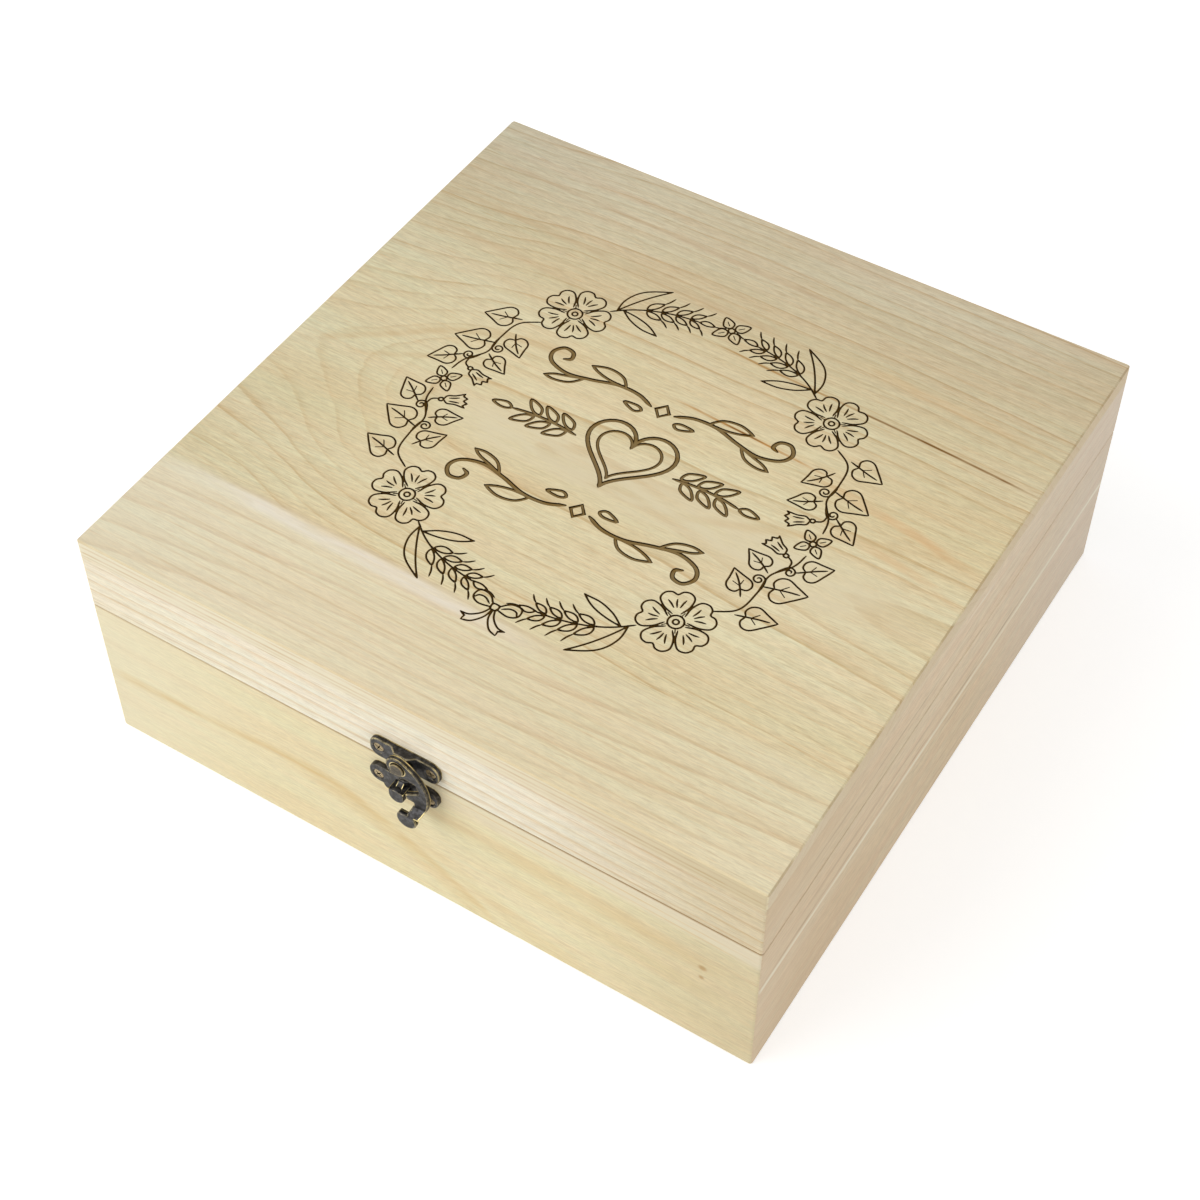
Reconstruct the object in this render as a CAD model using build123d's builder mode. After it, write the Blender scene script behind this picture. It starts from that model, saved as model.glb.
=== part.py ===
"""Square pine keepsake box: a base, a lift-up lid on two butt hinges and a swing-hook catch.

Millimetres, +Z up, +X to the right seen from the front, +Y to the back. The origin is the middle of
the underside, so the front face is at y = -box_depth / 2.
"""
import os
from math import cos, radians, sin, sqrt

from build123d import *

# ---------------------------------------------------------------------------- carcass sizes
box_width = 275.0
box_depth = 275.0
box_height = 105.0
lid_height = 34.3          # from the lid's rim to the top face
rim_gap = 0.3              # the lid's rim stays this far above the base's rim
wall = 9.0
top_thickness = 8.0
bottom_thickness = 4.0
bottom_rebate = 4.5        # how far the bottom panel reaches into the walls
panel_clearance = 0.15     # around the bottom panel in its rebate
corner_radius = 1.2        # upright corners, eased with sandpaper
arris = 0.5                # chamfer along the outer horizontal edges

# ---------------------------------------------------------------------------- catch sizes
plate_width = 28.2
plate_corner = 3.8
hook_plate_height = 9.5
hook_plate_tab = 2.0       # thickness of the screwed ends
hook_plate_raise = 4.0     # thickness under the rivet
hook_plate_flat = 5.2      # length of the raised middle
hook_plate_ramp = 2.4      # length of the slope on each side of it
hook_x = 0.9               # the rivet stands a little right of the box's middle
hook_rise = 7.45           # rivet and hook plate above the seam
stud_plate_height = 8.6
stud_plate_tab = 2.2
stud_plate_raise = 3.0
stud_plate_flat = 2.6
stud_plate_ramp = 1.4
stud_plate_drop = 7.55     # middle of the stud plate below the seam
stud_x = -0.4
stud_drop = 8.35           # stud and its screws below the seam
stud_width = 6.1
stud_top = 2.7             # flat top of the stud above its centre
stud_reach = 6.7           # end of the stud in front of the wall
rib_width = 2.4            # web that braces the stud from above
foot_width = 19.2          # thin foot of the stud plate, below its tabs
foot_drop = 4.3
foot_thickness = 1.2
foot_corner = 3.0
catch_edge = 0.35          # rounding of the cast edges
screw_spacing = 21.2
ramp_fillet = 0.9          # soft root and crest of the ramps

# ---------------------------------------------------------------------------- swing hook sizes
hook_thickness = 1.8
hook_lift = 0.1            # air between the hook and the raised middle of its plate
head_radius = 4.9
hook_radius = 17.4         # outer sweep of the arm
shoulder_angle = 62.0      # where the sweep leaves the head
arm_width = 3.0
bay_drop = 4.0             # straight underside of the head, below the rivet
tooth_gap = 0.35           # between the tooth and the stud's flank
tooth_rise = 2.1           # tooth above the stud's centre
tooth_height = 1.6
tooth_root_angle = 10.0    # where the arm widens into the tooth
throat_depth = 3.4         # hollow below the tooth
throat_height = 1.9
bay_fillet = 1.4
root_fillet = 1.8
tooth_fillet = 0.45
throat_fillet = 1.3
wrist_fillet = 0.8         # where the arm turns towards the pad
joggle_rise = 2.8          # height of the slope that brings the pad forward
joggle_bend = 1.3
hook_edge = 0.3            # bevel along its front edges
pad_radius = 4.0
pad_offset = 1.8           # pad's middle to the right of the tooth's tip
pad_shoulder = 2.5         # flat top of the pad above its middle
pad_drop = 19.65           # lowest point of the pad below the seam
pad_clearance = 0.5        # the pad passes in front of the stud by this much
rivet_radius = 1.9
rivet_fit = 0.06           # radial running clearance in the hook
rivet_press = 0.01
rivet_head_radius = 2.7
rivet_head_thickness = 1.3
rivet_recess_radius = 3.0
rivet_recess_depth = 0.6
rivet_tail_radius = 2.6
rivet_tail_thickness = 0.6
rivet_head_gap = 0.05
rivet_edge = 0.25

# ---------------------------------------------------------------------------- hinge sizes
hinge_inset = 52.0         # middle of each hinge from the side of the box
leaf_width = 26.0
leaf_height = 12.0         # from the pin's axis to the free edge
leaf_thickness = 0.9
leaf_corner = 2.0
knuckle_count = 5
knuckle_radius = 2.0
knuckle_gap = 0.2          # between neighbouring knuckles
knuckle_lift = 0.1         # between the knuckles and the wood
knuckle_relief = 0.3       # leaf edge around the other leaf's knuckles
pin_radius = 0.95
pin_fit = 0.05             # radial running clearance in the lid's knuckles
pin_press = 0.03
pin_button_radius = 1.5
pin_button_length = 0.8
pin_button_gap = 0.05
pin_button_edge = 0.5
hinge_screw_spacing = 16.0
hinge_screw_drop = 7.4     # screws from the pin's axis

# ---------------------------------------------------------------------------- screw sizes
screw_head_radius = 2.15
screw_shank_radius = 1.2
screw_sink = 0.3           # head below the plate's face
hinge_screw_head_radius = 1.85
hinge_screw_shank_radius = 1.0
hinge_screw_sink = 0.05
screw_clearance = 0.05
screw_tip_cover = 2.0      # wood left behind the tips
screw_tip_length = 1.6
screw_tip_radius = 0.3
slot_depth = 0.7
slot_width = 0.5
slot_share = 1.35          # arm-to-arm length of the cross, in head radii

# ---------------------------------------------------------------------------- worked out
base_top_z = box_height - lid_height - rim_gap
lid_rim_z = box_height - lid_height
seam_z = (base_top_z + lid_rim_z) / 2
rail_top_z = box_height - top_thickness
front_y = -box_depth / 2
back_y = box_depth / 2
hook_z = seam_z + hook_rise
stud_plate_z = seam_z - stud_plate_drop
stud_z = seam_z - stud_drop
pad_bottom_z = seam_z - pad_drop

hook_back = hook_plate_raise + hook_lift
hook_front = hook_back + hook_thickness
sweep_offset = hook_radius - head_radius
sweep_x = hook_x - sweep_offset * cos(radians(shoulder_angle))
sweep_z = hook_z - sweep_offset * sin(radians(shoulder_angle))
pad_back = stud_reach + pad_clearance

hinge_axis_y = back_y + knuckle_lift + knuckle_radius
hinge_axis_z = seam_z
knuckle_pitch = leaf_width / knuckle_count
base_knuckles = range(0, knuckle_count, 2)
lid_knuckles = range(1, knuckle_count, 2)
hinge_places = {"left": -(box_width / 2 - hinge_inset), "right": box_width / 2 - hinge_inset}

front = Plane(origin=(0, front_y, 0), x_dir=(1, 0, 0), z_dir=(0, -1, 0))
back = Plane(origin=(0, back_y, 0), x_dir=(-1, 0, 0), z_dir=(0, 1, 0))
beyond = 2 * hook_radius   # safely outside the hook, for cutting shapes

hook_screws = [(hook_x + side * screw_spacing / 2, hook_z) for side in (-1, 1)]
stud_screws = [(stud_x + side * screw_spacing / 2, stud_z) for side in (-1, 1)]


def hinge_screws(side):
    """Places of the leaf screws on the back face: side is 1 above the pins and -1 below."""
    return [
        (-x + offset * hinge_screw_spacing / 2, hinge_axis_z + side * hinge_screw_drop)
        for x in hinge_places.values()
        for offset in (-1, 1)
    ]


# ---------------------------------------------------------------------------- screws
def wood_screw(head_radius_, shank_radius, length):
    """A countersunk cross-head screw, its head's face at the origin and its tip down."""
    head_height = head_radius_ - shank_radius
    with BuildPart() as screw:
        with BuildSketch(Plane.XZ):
            with BuildLine():
                Polyline(
                    (0, 0),
                    (head_radius_, 0),
                    (shank_radius, -head_height),
                    (shank_radius, -length + screw_tip_length),
                    (screw_tip_radius, -length),
                    (0, -length),
                    close=True,
                )
            make_face()
        revolve(axis=Axis.Z)
        with BuildSketch():
            Rectangle(slot_share * head_radius_, slot_width)
            Rectangle(slot_width, slot_share * head_radius_)
        extrude(amount=-slot_depth, mode=Mode.SUBTRACT)
    return screw.part


def screw_group(screw, plane, places, height):
    """The same screw at each place, its head's face at this height above the plane."""
    with BuildPart() as group:
        with Locations(plane):
            with Locations(*[(x, z, height) for x, z in places]):
                add(screw)
    return group.part


hook_screw_height = hook_plate_tab - screw_sink
stud_screw_height = stud_plate_tab - screw_sink
leaf_screw_height = leaf_thickness - hinge_screw_sink
screw_reach = wall - screw_tip_cover
hook_screw = wood_screw(screw_head_radius, screw_shank_radius, hook_screw_height + screw_reach)
stud_screw = wood_screw(screw_head_radius, screw_shank_radius, stud_screw_height + screw_reach)
leaf_screw = wood_screw(
    hinge_screw_head_radius, hinge_screw_shank_radius, leaf_screw_height + screw_reach
)


# ---------------------------------------------------------------------------- box frames
def mitred_frame(bottom_z, top_z, front_pilots, back_pilots):
    """Four walls as one closed ring, with the screws' pilot holes, before the mitres are sawn."""
    with BuildPart() as ring:
        with BuildSketch(Plane.XY.offset(bottom_z)):
            RectangleRounded(box_width, box_depth, corner_radius)
            Rectangle(box_width - 2 * wall, box_depth - 2 * wall, mode=Mode.SUBTRACT)
        extrude(amount=top_z - bottom_z)
        with BuildSketch(front):
            with Locations(*front_pilots):
                Circle(screw_shank_radius + screw_clearance)
        extrude(amount=-screw_reach - screw_clearance, mode=Mode.SUBTRACT)
        with BuildSketch(back):
            with Locations(*back_pilots):
                Circle(hinge_screw_shank_radius + screw_clearance)
        extrude(amount=-screw_reach - screw_clearance, mode=Mode.SUBTRACT)
    return ring.part


def mitred_side(ring, side):
    """One wall of the ring, between the two mitres that run in from its corners."""
    half_x = box_width / 2
    half_y = box_depth / 2
    corners = {
        "front": [(-half_x, -half_y), (half_x, -half_y)],
        "right": [(half_x, -half_y), (half_x, half_y)],
        "back": [(half_x, half_y), (-half_x, half_y)],
        "left": [(-half_x, half_y), (-half_x, -half_y)],
    }
    outer = corners[side]
    inner = [(x - wall * (1 if x > 0 else -1), y - wall * (1 if y > 0 else -1)) for x, y in outer]
    with BuildPart() as piece:
        add(ring)
        with BuildSketch():
            Polygon(*outer, *reversed(inner), align=None)
        extrude(amount=box_height, mode=Mode.INTERSECT)
    return piece.part


# The base: its outer bottom and rim edges are eased, and the inside is rebated for the bottom.
with BuildPart() as base_ring:
    add(mitred_frame(0, base_top_z, stud_screws, hinge_screws(-1)))
    chamfer(base_ring.faces().sort_by(Axis.Z)[0].outer_wire().edges(), arris)
    chamfer(base_ring.faces().sort_by(Axis.Z)[-1].outer_wire().edges(), arris)
    with BuildSketch():
        Rectangle(
            box_width - 2 * (wall - bottom_rebate), box_depth - 2 * (wall - bottom_rebate)
        )
    extrude(amount=bottom_thickness, mode=Mode.SUBTRACT)

with BuildPart() as bottom_panel:
    with BuildSketch():
        Rectangle(
            box_width - 2 * (wall - bottom_rebate + panel_clearance),
            box_depth - 2 * (wall - bottom_rebate + panel_clearance),
        )
    extrude(amount=bottom_thickness)

# The lid: rails on edge below, and one panel glued over them.
with BuildPart() as lid_ring:
    add(mitred_frame(lid_rim_z, rail_top_z, hook_screws, hinge_screws(1)))
    chamfer(lid_ring.faces().sort_by(Axis.Z)[0].outer_wire().edges(), arris)

with BuildPart() as top_panel:
    with BuildSketch(Plane.XY.offset(rail_top_z)):
        RectangleRounded(box_width, box_depth, corner_radius)
    extrude(amount=top_thickness)
    chamfer(top_panel.faces().sort_by(Axis.Z)[-1].edges(), arris)


# ---------------------------------------------------------------------------- catch plates
def front_outline(part):
    """The edges around the forward-facing faces, leaving out those between two of them."""
    forward = [face for face in part.faces() if face.normal_at(face.center()).Y < -0.3]
    edges = [edge for face in forward for edge in face.edges()]
    return [edge for edge in edges if sum(edge.is_same(other) for other in edges) == 1]


def cast_plate(centre_x, centre_z, height, tab, raised, flat, ramp):
    """A plate with two screwed tabs and a raised middle, cast in one piece."""
    section = Plane(
        origin=(centre_x, front_y, centre_z + height / 2), x_dir=(1, 0, 0), z_dir=(0, 0, -1)
    )
    half = plate_width / 2
    with BuildPart() as plate:
        with BuildSketch(section) as profile:
            with BuildLine():
                Polyline(
                    (-half, 0),
                    (half, 0),
                    (half, tab),
                    (flat / 2 + ramp, tab),
                    (flat / 2, raised),
                    (-flat / 2, raised),
                    (-flat / 2 - ramp, tab),
                    (-half, tab),
                    close=True,
                )
            make_face()
            bends = profile.vertices().filter_by(lambda v: abs(v.X) < half - plate_corner)
            fillet(bends, ramp_fillet)
        extrude(amount=height)
        with BuildSketch(front):
            with Locations((centre_x, centre_z)):
                RectangleRounded(plate_width, height, plate_corner)
        extrude(amount=raised, mode=Mode.INTERSECT)
        fillet(front_outline(plate), catch_edge)
    return plate.part


# The hook plate, on the lid: the rivet passes through its raised middle.
with BuildPart() as hook_plate:
    add(
        cast_plate(
            hook_x, hook_z, hook_plate_height,
            hook_plate_tab, hook_plate_raise, hook_plate_flat, hook_plate_ramp,
        )
    )
    with Locations(front):
        with Locations(*[(x, z, hook_plate_tab) for x, z in hook_screws]):
            CounterSinkHole(
                screw_shank_radius + screw_clearance,
                screw_head_radius + screw_sink + screw_clearance,
                counter_sink_angle=90,
            )
    with BuildSketch(front):
        with Locations((hook_x, hook_z)):
            Circle(rivet_radius + rivet_press)
    extrude(amount=hook_plate_raise, mode=Mode.SUBTRACT)
    with BuildSketch(front):
        with Locations((hook_x, hook_z)):
            Circle(rivet_tail_radius + rivet_press)
    extrude(amount=rivet_tail_thickness, mode=Mode.SUBTRACT)

# The stud plate, on the base: a thin foot below the tabs, the stud and the rib that braces it.
with BuildPart() as stud_plate:
    add(
        cast_plate(
            stud_x, stud_plate_z, stud_plate_height,
            stud_plate_tab, stud_plate_raise, stud_plate_flat, stud_plate_ramp,
        )
    )
    with BuildSketch(front):
        with Locations((stud_x, stud_plate_z)):
            Rectangle(foot_width, stud_plate_height)
        foot_bottom = stud_plate_z - stud_plate_height / 2 - foot_drop
        with Locations((stud_x, foot_bottom)):
            RectangleRounded(
                foot_width, 2 * foot_corner + foot_drop, foot_corner, align=(Align.CENTER, Align.MIN)
            )
    extrude(amount=foot_thickness)
    rib_plane = Plane(origin=(stud_x, front_y, 0), x_dir=(0, -1, 0), z_dir=(-1, 0, 0))
    with BuildSketch(rib_plane):
        with BuildLine():
            Polyline(
                (0, stud_z),
                (stud_reach - hook_thickness, stud_z),
                (stud_reach - hook_thickness, stud_z + stud_top),
                (stud_plate_tab, stud_plate_z + stud_plate_height / 2 - catch_edge),
                (0, stud_plate_z + stud_plate_height / 2 - catch_edge),
                close=True,
            )
        make_face()
    extrude(amount=rib_width / 2, both=True)
    with BuildSketch(front):
        with Locations((stud_x, stud_z)):
            Circle(stud_width / 2)
            Rectangle(stud_width, stud_top, align=(Align.CENTER, Align.MIN))
    extrude(amount=stud_reach)
    fillet(stud_plate.faces().sort_by(Axis.Y)[0].outer_wire().edges(), catch_edge)
    with Locations(front):
        with Locations(*[(x, z, stud_plate_tab) for x, z in stud_screws]):
            CounterSinkHole(
                screw_shank_radius + screw_clearance,
                screw_head_radius + screw_sink + screw_clearance,
                counter_sink_angle=90,
            )


# ---------------------------------------------------------------------------- swing hook
# Its outline is the round head and a crescent arm, cut along the inner edge: under the head, down
# the arm, out along the tooth beside the stud, round the throat and down to the pad's shoulder.
inner_radius = hook_radius - arm_width
stud_flank = stud_x + stud_width / 2
tooth_x = stud_flank + tooth_gap
tooth_top = stud_z + tooth_rise + tooth_height / 2
tooth_bottom = stud_z + tooth_rise - tooth_height / 2
throat_x = tooth_x + throat_depth
bay_z = hook_z - bay_drop
bay_x = sweep_x + sqrt(inner_radius**2 - (bay_z - sweep_z) ** 2)
root_x = sweep_x + inner_radius * cos(radians(tooth_root_angle))
root_z = sweep_z + inner_radius * sin(radians(tooth_root_angle))
pad_x = tooth_x + pad_offset
shoulder_z = pad_bottom_z + pad_radius + pad_shoulder
joggle_bottom = shoulder_z
joggle_top = shoulder_z + joggle_rise
blade_middle = hook_back + hook_thickness / 2
pad_middle = pad_back + hook_thickness / 2
side_view = Plane(origin=(hook_x, front_y, 0), x_dir=(0, -1, 0), z_dir=(-1, 0, 0))

with BuildPart() as hook:
    # A strip seen from the side: flat in the blade, then joggled forward to the finger pad.
    with BuildSketch(side_view):
        with BuildLine():
            FilletPolyline(
                (blade_middle, hook_z + 2 * head_radius),
                (blade_middle, joggle_top),
                (pad_middle, joggle_bottom),
                (pad_middle, pad_bottom_z - pad_radius),
                radius=joggle_bend,
            )
        trace(line_width=hook_thickness)
    extrude(amount=hook_radius, both=True)
    # Its outline from the front trims the strip.
    with BuildSketch(front):
        with Locations((sweep_x, sweep_z)):
            Circle(hook_radius)
        with BuildSketch(mode=Mode.SUBTRACT):
            with BuildLine():
                FilletPolyline(
                    (hook_x, bay_z),
                    (bay_x, bay_z),
                    (root_x, root_z),
                    (tooth_x, tooth_top),
                    (tooth_x, tooth_bottom),
                    (throat_x, tooth_bottom),
                    (throat_x, tooth_bottom - throat_height),
                    (pad_x, shoulder_z),
                    radius=[
                        bay_fillet, root_fillet, tooth_fillet, tooth_fillet, throat_fillet, wrist_fillet,
                    ],
                )
                Polyline(
                    (pad_x, shoulder_z),
                    (pad_x + beyond, shoulder_z),
                    (pad_x + beyond, shoulder_z - beyond),
                    (sweep_x - beyond, shoulder_z - beyond),
                    (sweep_x - beyond, hook_z + beyond),
                    (hook_x + beyond * cos(radians(shoulder_angle)),
                     hook_z + beyond * sin(radians(shoulder_angle))),
                    (hook_x, hook_z),
                    (hook_x, bay_z),
                )
            make_face()
        with Locations((hook_x, hook_z)):
            Circle(head_radius)
        with BuildSketch():
            with Locations((pad_x, pad_bottom_z + pad_radius)):
                Circle(pad_radius)
            with Locations((pad_x, shoulder_z)):
                Rectangle(
                    2 * pad_radius, 2 * pad_radius, align=(Align.CENTER, Align.MIN), mode=Mode.SUBTRACT
                )
    extrude(amount=pad_back + hook_thickness, mode=Mode.INTERSECT)
    chamfer(front_outline(hook), hook_edge)
    with BuildSketch(front):
        with Locations((hook_x, hook_z)):
            Circle(rivet_radius + rivet_fit)
    extrude(amount=hook_front, mode=Mode.SUBTRACT)
    with BuildSketch(front.offset(hook_front - rivet_recess_depth)):
        with Locations((hook_x, hook_z)):
            Circle(rivet_recess_radius)
    extrude(amount=rivet_recess_depth, mode=Mode.SUBTRACT)

# The rivet: riveted over in the back of its plate, its round head in the hook's recess.
head_back = hook_front - rivet_recess_depth + rivet_head_gap
head_front = head_back + rivet_head_thickness
with BuildPart() as rivet:
    with BuildSketch(front):
        with Locations((hook_x, hook_z)):
            Circle(rivet_radius)
    extrude(amount=head_front)
    with BuildSketch(front):
        with Locations((hook_x, hook_z)):
            Circle(rivet_tail_radius)
    extrude(amount=rivet_tail_thickness)
    with BuildSketch(front.offset(head_back)):
        with Locations((hook_x, hook_z)):
            Circle(rivet_head_radius)
    extrude(amount=rivet_head_thickness)
    fillet(rivet.faces().sort_by(Axis.Y)[0].edges(), rivet_edge)


# ---------------------------------------------------------------------------- hinges
def across(x):
    """A plane square to the hinge pins at this x, its origin on their axis."""
    return Plane(origin=(x, hinge_axis_y, hinge_axis_z), x_dir=(0, 1, 0), z_dir=(1, 0, 0))


def hinge_leaf(hinge_x, side, knuckles, bore_radius):
    """One leaf with its rolled knuckles: side is 1 for the lid's leaf and -1 for the base's."""
    first = hinge_x - leaf_width / 2 + knuckle_pitch / 2
    middles = [first + i * knuckle_pitch for i in range(knuckle_count)]
    own = [middles[i] for i in knuckles]
    others = [x for x in middles if x not in own]
    relief = knuckle_radius + knuckle_relief
    with BuildPart() as leaf:
        with BuildSketch(back) as outline:
            with Locations((-hinge_x, hinge_axis_z + side * leaf_height / 2)):
                Rectangle(leaf_width, leaf_height)
            fillet(outline.vertices().sort_by(Axis.Y)[:2] if side < 0
                   else outline.vertices().sort_by(Axis.Y)[-2:], leaf_corner)
            with Locations(*[(-x, hinge_axis_z + side * relief / 2) for x in others]):
                Rectangle(knuckle_pitch, relief, mode=Mode.SUBTRACT)
        extrude(amount=leaf_thickness)
        with BuildSketch(*[across(x) for x in own]):
            Circle(knuckle_radius)
        extrude(amount=(knuckle_pitch - knuckle_gap) / 2, both=True)
        with BuildSketch(across(hinge_x)):
            Circle(bore_radius)
        extrude(amount=leaf_width, both=True, mode=Mode.SUBTRACT)
        places = [-hinge_x - hinge_screw_spacing / 2, -hinge_x + hinge_screw_spacing / 2]
        with Locations(back):
            with Locations(
                *[(x, hinge_axis_z + side * hinge_screw_drop, leaf_thickness) for x in places]
            ):
                CounterSinkHole(
                    hinge_screw_shank_radius + screw_clearance,
                    hinge_screw_head_radius + hinge_screw_sink + screw_clearance,
                    counter_sink_angle=90,
                )
    return leaf.part


def hinge_pin(hinge_x):
    """A pin through all the knuckles, with a rounded button on each end."""
    seat = leaf_width / 2 + pin_button_gap
    with BuildPart() as pin:
        with BuildSketch(across(hinge_x)):
            Circle(pin_radius)
        extrude(amount=seat, both=True)
        for way in (-1, 1):
            with BuildSketch(across(hinge_x + way * seat)):
                Circle(pin_button_radius)
            extrude(amount=way * pin_button_length)
        for face in (pin.faces().sort_by(Axis.X)[0], pin.faces().sort_by(Axis.X)[-1]):
            fillet(face.edges(), pin_button_edge)
    return pin.part


# ---------------------------------------------------------------------------- the separate pieces
pieces = {
    "base_bottom_panel": bottom_panel.part,
    "lid_top_panel": top_panel.part,
    "catch_stud_plate": stud_plate.part,
    "catch_hook_plate": hook_plate.part,
    "catch_hook": hook.part,
    "catch_rivet": rivet.part,
    "stud_plate_screws": screw_group(stud_screw, front, stud_screws, stud_screw_height),
    "hook_plate_screws": screw_group(hook_screw, front, hook_screws, hook_screw_height),
    "hinge_base_screws": screw_group(leaf_screw, back, hinge_screws(-1), leaf_screw_height),
    "hinge_lid_screws": screw_group(leaf_screw, back, hinge_screws(1), leaf_screw_height),
}
for side in ("front", "right", "back", "left"):
    pieces[f"base_{side}_wall"] = mitred_side(base_ring.part, side)
    pieces[f"lid_{side}_rail"] = mitred_side(lid_ring.part, side)
for side, x in hinge_places.items():
    pieces[f"hinge_{side}_base_leaf"] = hinge_leaf(x, -1, base_knuckles, pin_radius + pin_press)
    pieces[f"hinge_{side}_lid_leaf"] = hinge_leaf(x, 1, lid_knuckles, pin_radius + pin_fit)
    pieces[f"hinge_{side}_pin"] = hinge_pin(x)

os.makedirs("parts", exist_ok=True)
for name, piece in pieces.items():
    piece.label = name
    export_step(piece, f"parts/{name}.step")
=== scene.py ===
import math

import bpy
import numpy as np
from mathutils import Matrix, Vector
from mathutils.geometry import delaunay_2d_cdt
from mathutils.kdtree import KDTree


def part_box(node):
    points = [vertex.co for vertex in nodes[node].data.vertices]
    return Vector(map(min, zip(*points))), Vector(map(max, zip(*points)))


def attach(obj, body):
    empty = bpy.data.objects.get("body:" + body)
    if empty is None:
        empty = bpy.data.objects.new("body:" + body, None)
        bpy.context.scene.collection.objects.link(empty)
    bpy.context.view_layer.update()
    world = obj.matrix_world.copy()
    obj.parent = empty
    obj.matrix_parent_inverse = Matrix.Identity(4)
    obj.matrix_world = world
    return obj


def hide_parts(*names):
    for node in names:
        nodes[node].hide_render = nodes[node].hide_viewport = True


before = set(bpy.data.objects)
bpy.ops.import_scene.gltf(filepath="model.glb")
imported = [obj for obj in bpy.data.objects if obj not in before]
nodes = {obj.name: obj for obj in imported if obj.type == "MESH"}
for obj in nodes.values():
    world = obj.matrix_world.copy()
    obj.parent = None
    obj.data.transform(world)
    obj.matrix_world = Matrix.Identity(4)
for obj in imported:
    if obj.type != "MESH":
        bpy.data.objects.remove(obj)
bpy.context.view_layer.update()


# ---------------------------------------------------------------------------- box walls
# Four mitred walls of sanded, unpainted pine, 9 mm thick, glued at the corners. Every wall is one
# sawn board, so its grain runs along it. The front board has two knots, and both side boards are
# from one plank.
MM = 1000.0
END = 138                # a streak that crosses a whole board runs to here, just past the board's ends
SEAM = (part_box("base_front_wall")[1].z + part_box("lid_front_rail")[0].z) / 2 * MM
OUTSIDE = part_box("base_right_wall")[1].x * MM
KNOTS = (((116.5, 45), (2.4, 2.0)), ((116.3, 39), (1.6, 1.4)))      # the front wall's: middle and size


def feed(tree, socket, value):
    """Links a socket to an input, or writes the value on it."""
    if isinstance(value, bpy.types.NodeSocket):
        tree.links.new(value, socket)
    else:
        socket.default_value = value


def add(tree, kind, inputs=None, **settings):
    """A new node with these settings and inputs."""
    made = tree.nodes.new(kind)
    for name, value in settings.items():
        setattr(made, name, value)
    for key, value in (inputs or {}).items():
        feed(tree, made.inputs[key], value)
    return made


def calc(tree, operation, *values, clamp=False):
    """One step of arithmetic on sockets and numbers."""
    made = add(tree, "ShaderNodeMath", operation=operation, use_clamp=clamp)
    for socket, value in zip(made.inputs, values):
        feed(tree, socket, value)
    return made.outputs[0]


def product(tree, first, *others):
    """All of them multiplied together."""
    for other in others:
        first = calc(tree, "MULTIPLY", first, other)
    return first


def rise(tree, value, low, high, start=0.0, end=1.0):
    """Goes smoothly from start to end as value goes from low to high."""
    numbers = {"Value": value, "From Min": low, "From Max": high, "To Min": start, "To Max": end}
    return add(tree, "ShaderNodeMapRange", numbers, interpolation_type="SMOOTHSTEP").outputs["Result"]


def mixed(tree, share, first, second, blend="MIX"):
    """The first colour, with this share of the second blended into it."""
    made = add(tree, "ShaderNodeMix", data_type="RGBA", blend_type=blend, clamp_factor=True)
    for socket, value in ((0, share), (6, first), (7, second)):
        feed(tree, made.inputs[socket], value)
    return made.outputs[2]


def paint(red, green, blue):
    """A colour given as 0 to 255 on a screen, as the renderer needs it."""
    linear = [c / 12.92 if c <= 0.04045 else ((c + 0.055) / 1.055) ** 2.4
              for c in (red / 255, green / 255, blue / 255)]
    return (*linear, 1.0)


def speckle(tree, place, stretch, detail=2.0, shift=0.0, roughness=0.5):
    """Noise from 0 to 1, stretched along the axes: cells per millimetre in x, y and z."""
    scaled = add(tree, "ShaderNodeVectorMath", {0: place, 1: stretch}, operation="MULTIPLY").outputs[0]
    moved_on = (shift, shift * 0.7, shift * 1.3)
    shifted = add(tree, "ShaderNodeVectorMath", {0: scaled, 1: moved_on}).outputs[0]
    numbers = {"Vector": shifted, "Scale": 1.0, "Detail": detail, "Roughness": roughness}
    return add(tree, "ShaderNodeTexNoise", numbers).outputs[0]


def curve_through(tree, value, points):
    """A smooth curve through (place, height) points, read at value."""
    places, heights = zip(*points)
    low, high = min(places), max(places)
    floor, ceiling = min(heights), max(heights) + 1e-6
    share = calc(tree, "DIVIDE", calc(tree, "SUBTRACT", value, low), high - low, clamp=True)
    made = add(tree, "ShaderNodeFloatCurve", {"Value": share})
    curve = made.mapping.curves[0]
    first, *between, last = [((p - low) / (high - low), (h - floor) / (ceiling - floor)) for p, h in points]
    curve.points[0].location = first
    curve.points[-1].location = last
    for spot in between:
        curve.points.new(*spot)
    made.mapping.update()
    return calc(tree, "MULTIPLY_ADD", made.outputs[0], ceiling - floor, floor)


def open_group(name, inputs, outputs):
    """A shader group and its sockets. An input given as None is a vector, and the others are numbers."""
    group = bpy.data.node_groups.new(name, "ShaderNodeTree")
    for label, value in inputs.items():
        kind = "NodeSocketVector" if value is None else "NodeSocketFloat"
        socket = group.interface.new_socket(name=label, in_out="INPUT", socket_type=kind)
        if value is not None:
            socket.default_value = value
    for label in outputs:
        group.interface.new_socket(name=label, in_out="OUTPUT", socket_type="NodeSocketFloat")
    return group, add(group, "NodeGroupInput").outputs, add(group, "NodeGroupOutput").inputs


def open_material(name):
    """A new material and its empty tree."""
    material = bpy.data.materials.new(name)
    material.use_nodes = True
    material.node_tree.nodes.clear()
    return material, material.node_tree


def in_millimetres(tree):
    """Where a point lies on the object, in millimetres."""
    place = add(tree, "ShaderNodeTexCoord").outputs["Object"]
    return add(tree, "ShaderNodeVectorMath", {0: place, "Scale": MM}, operation="SCALE").outputs[0]


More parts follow.
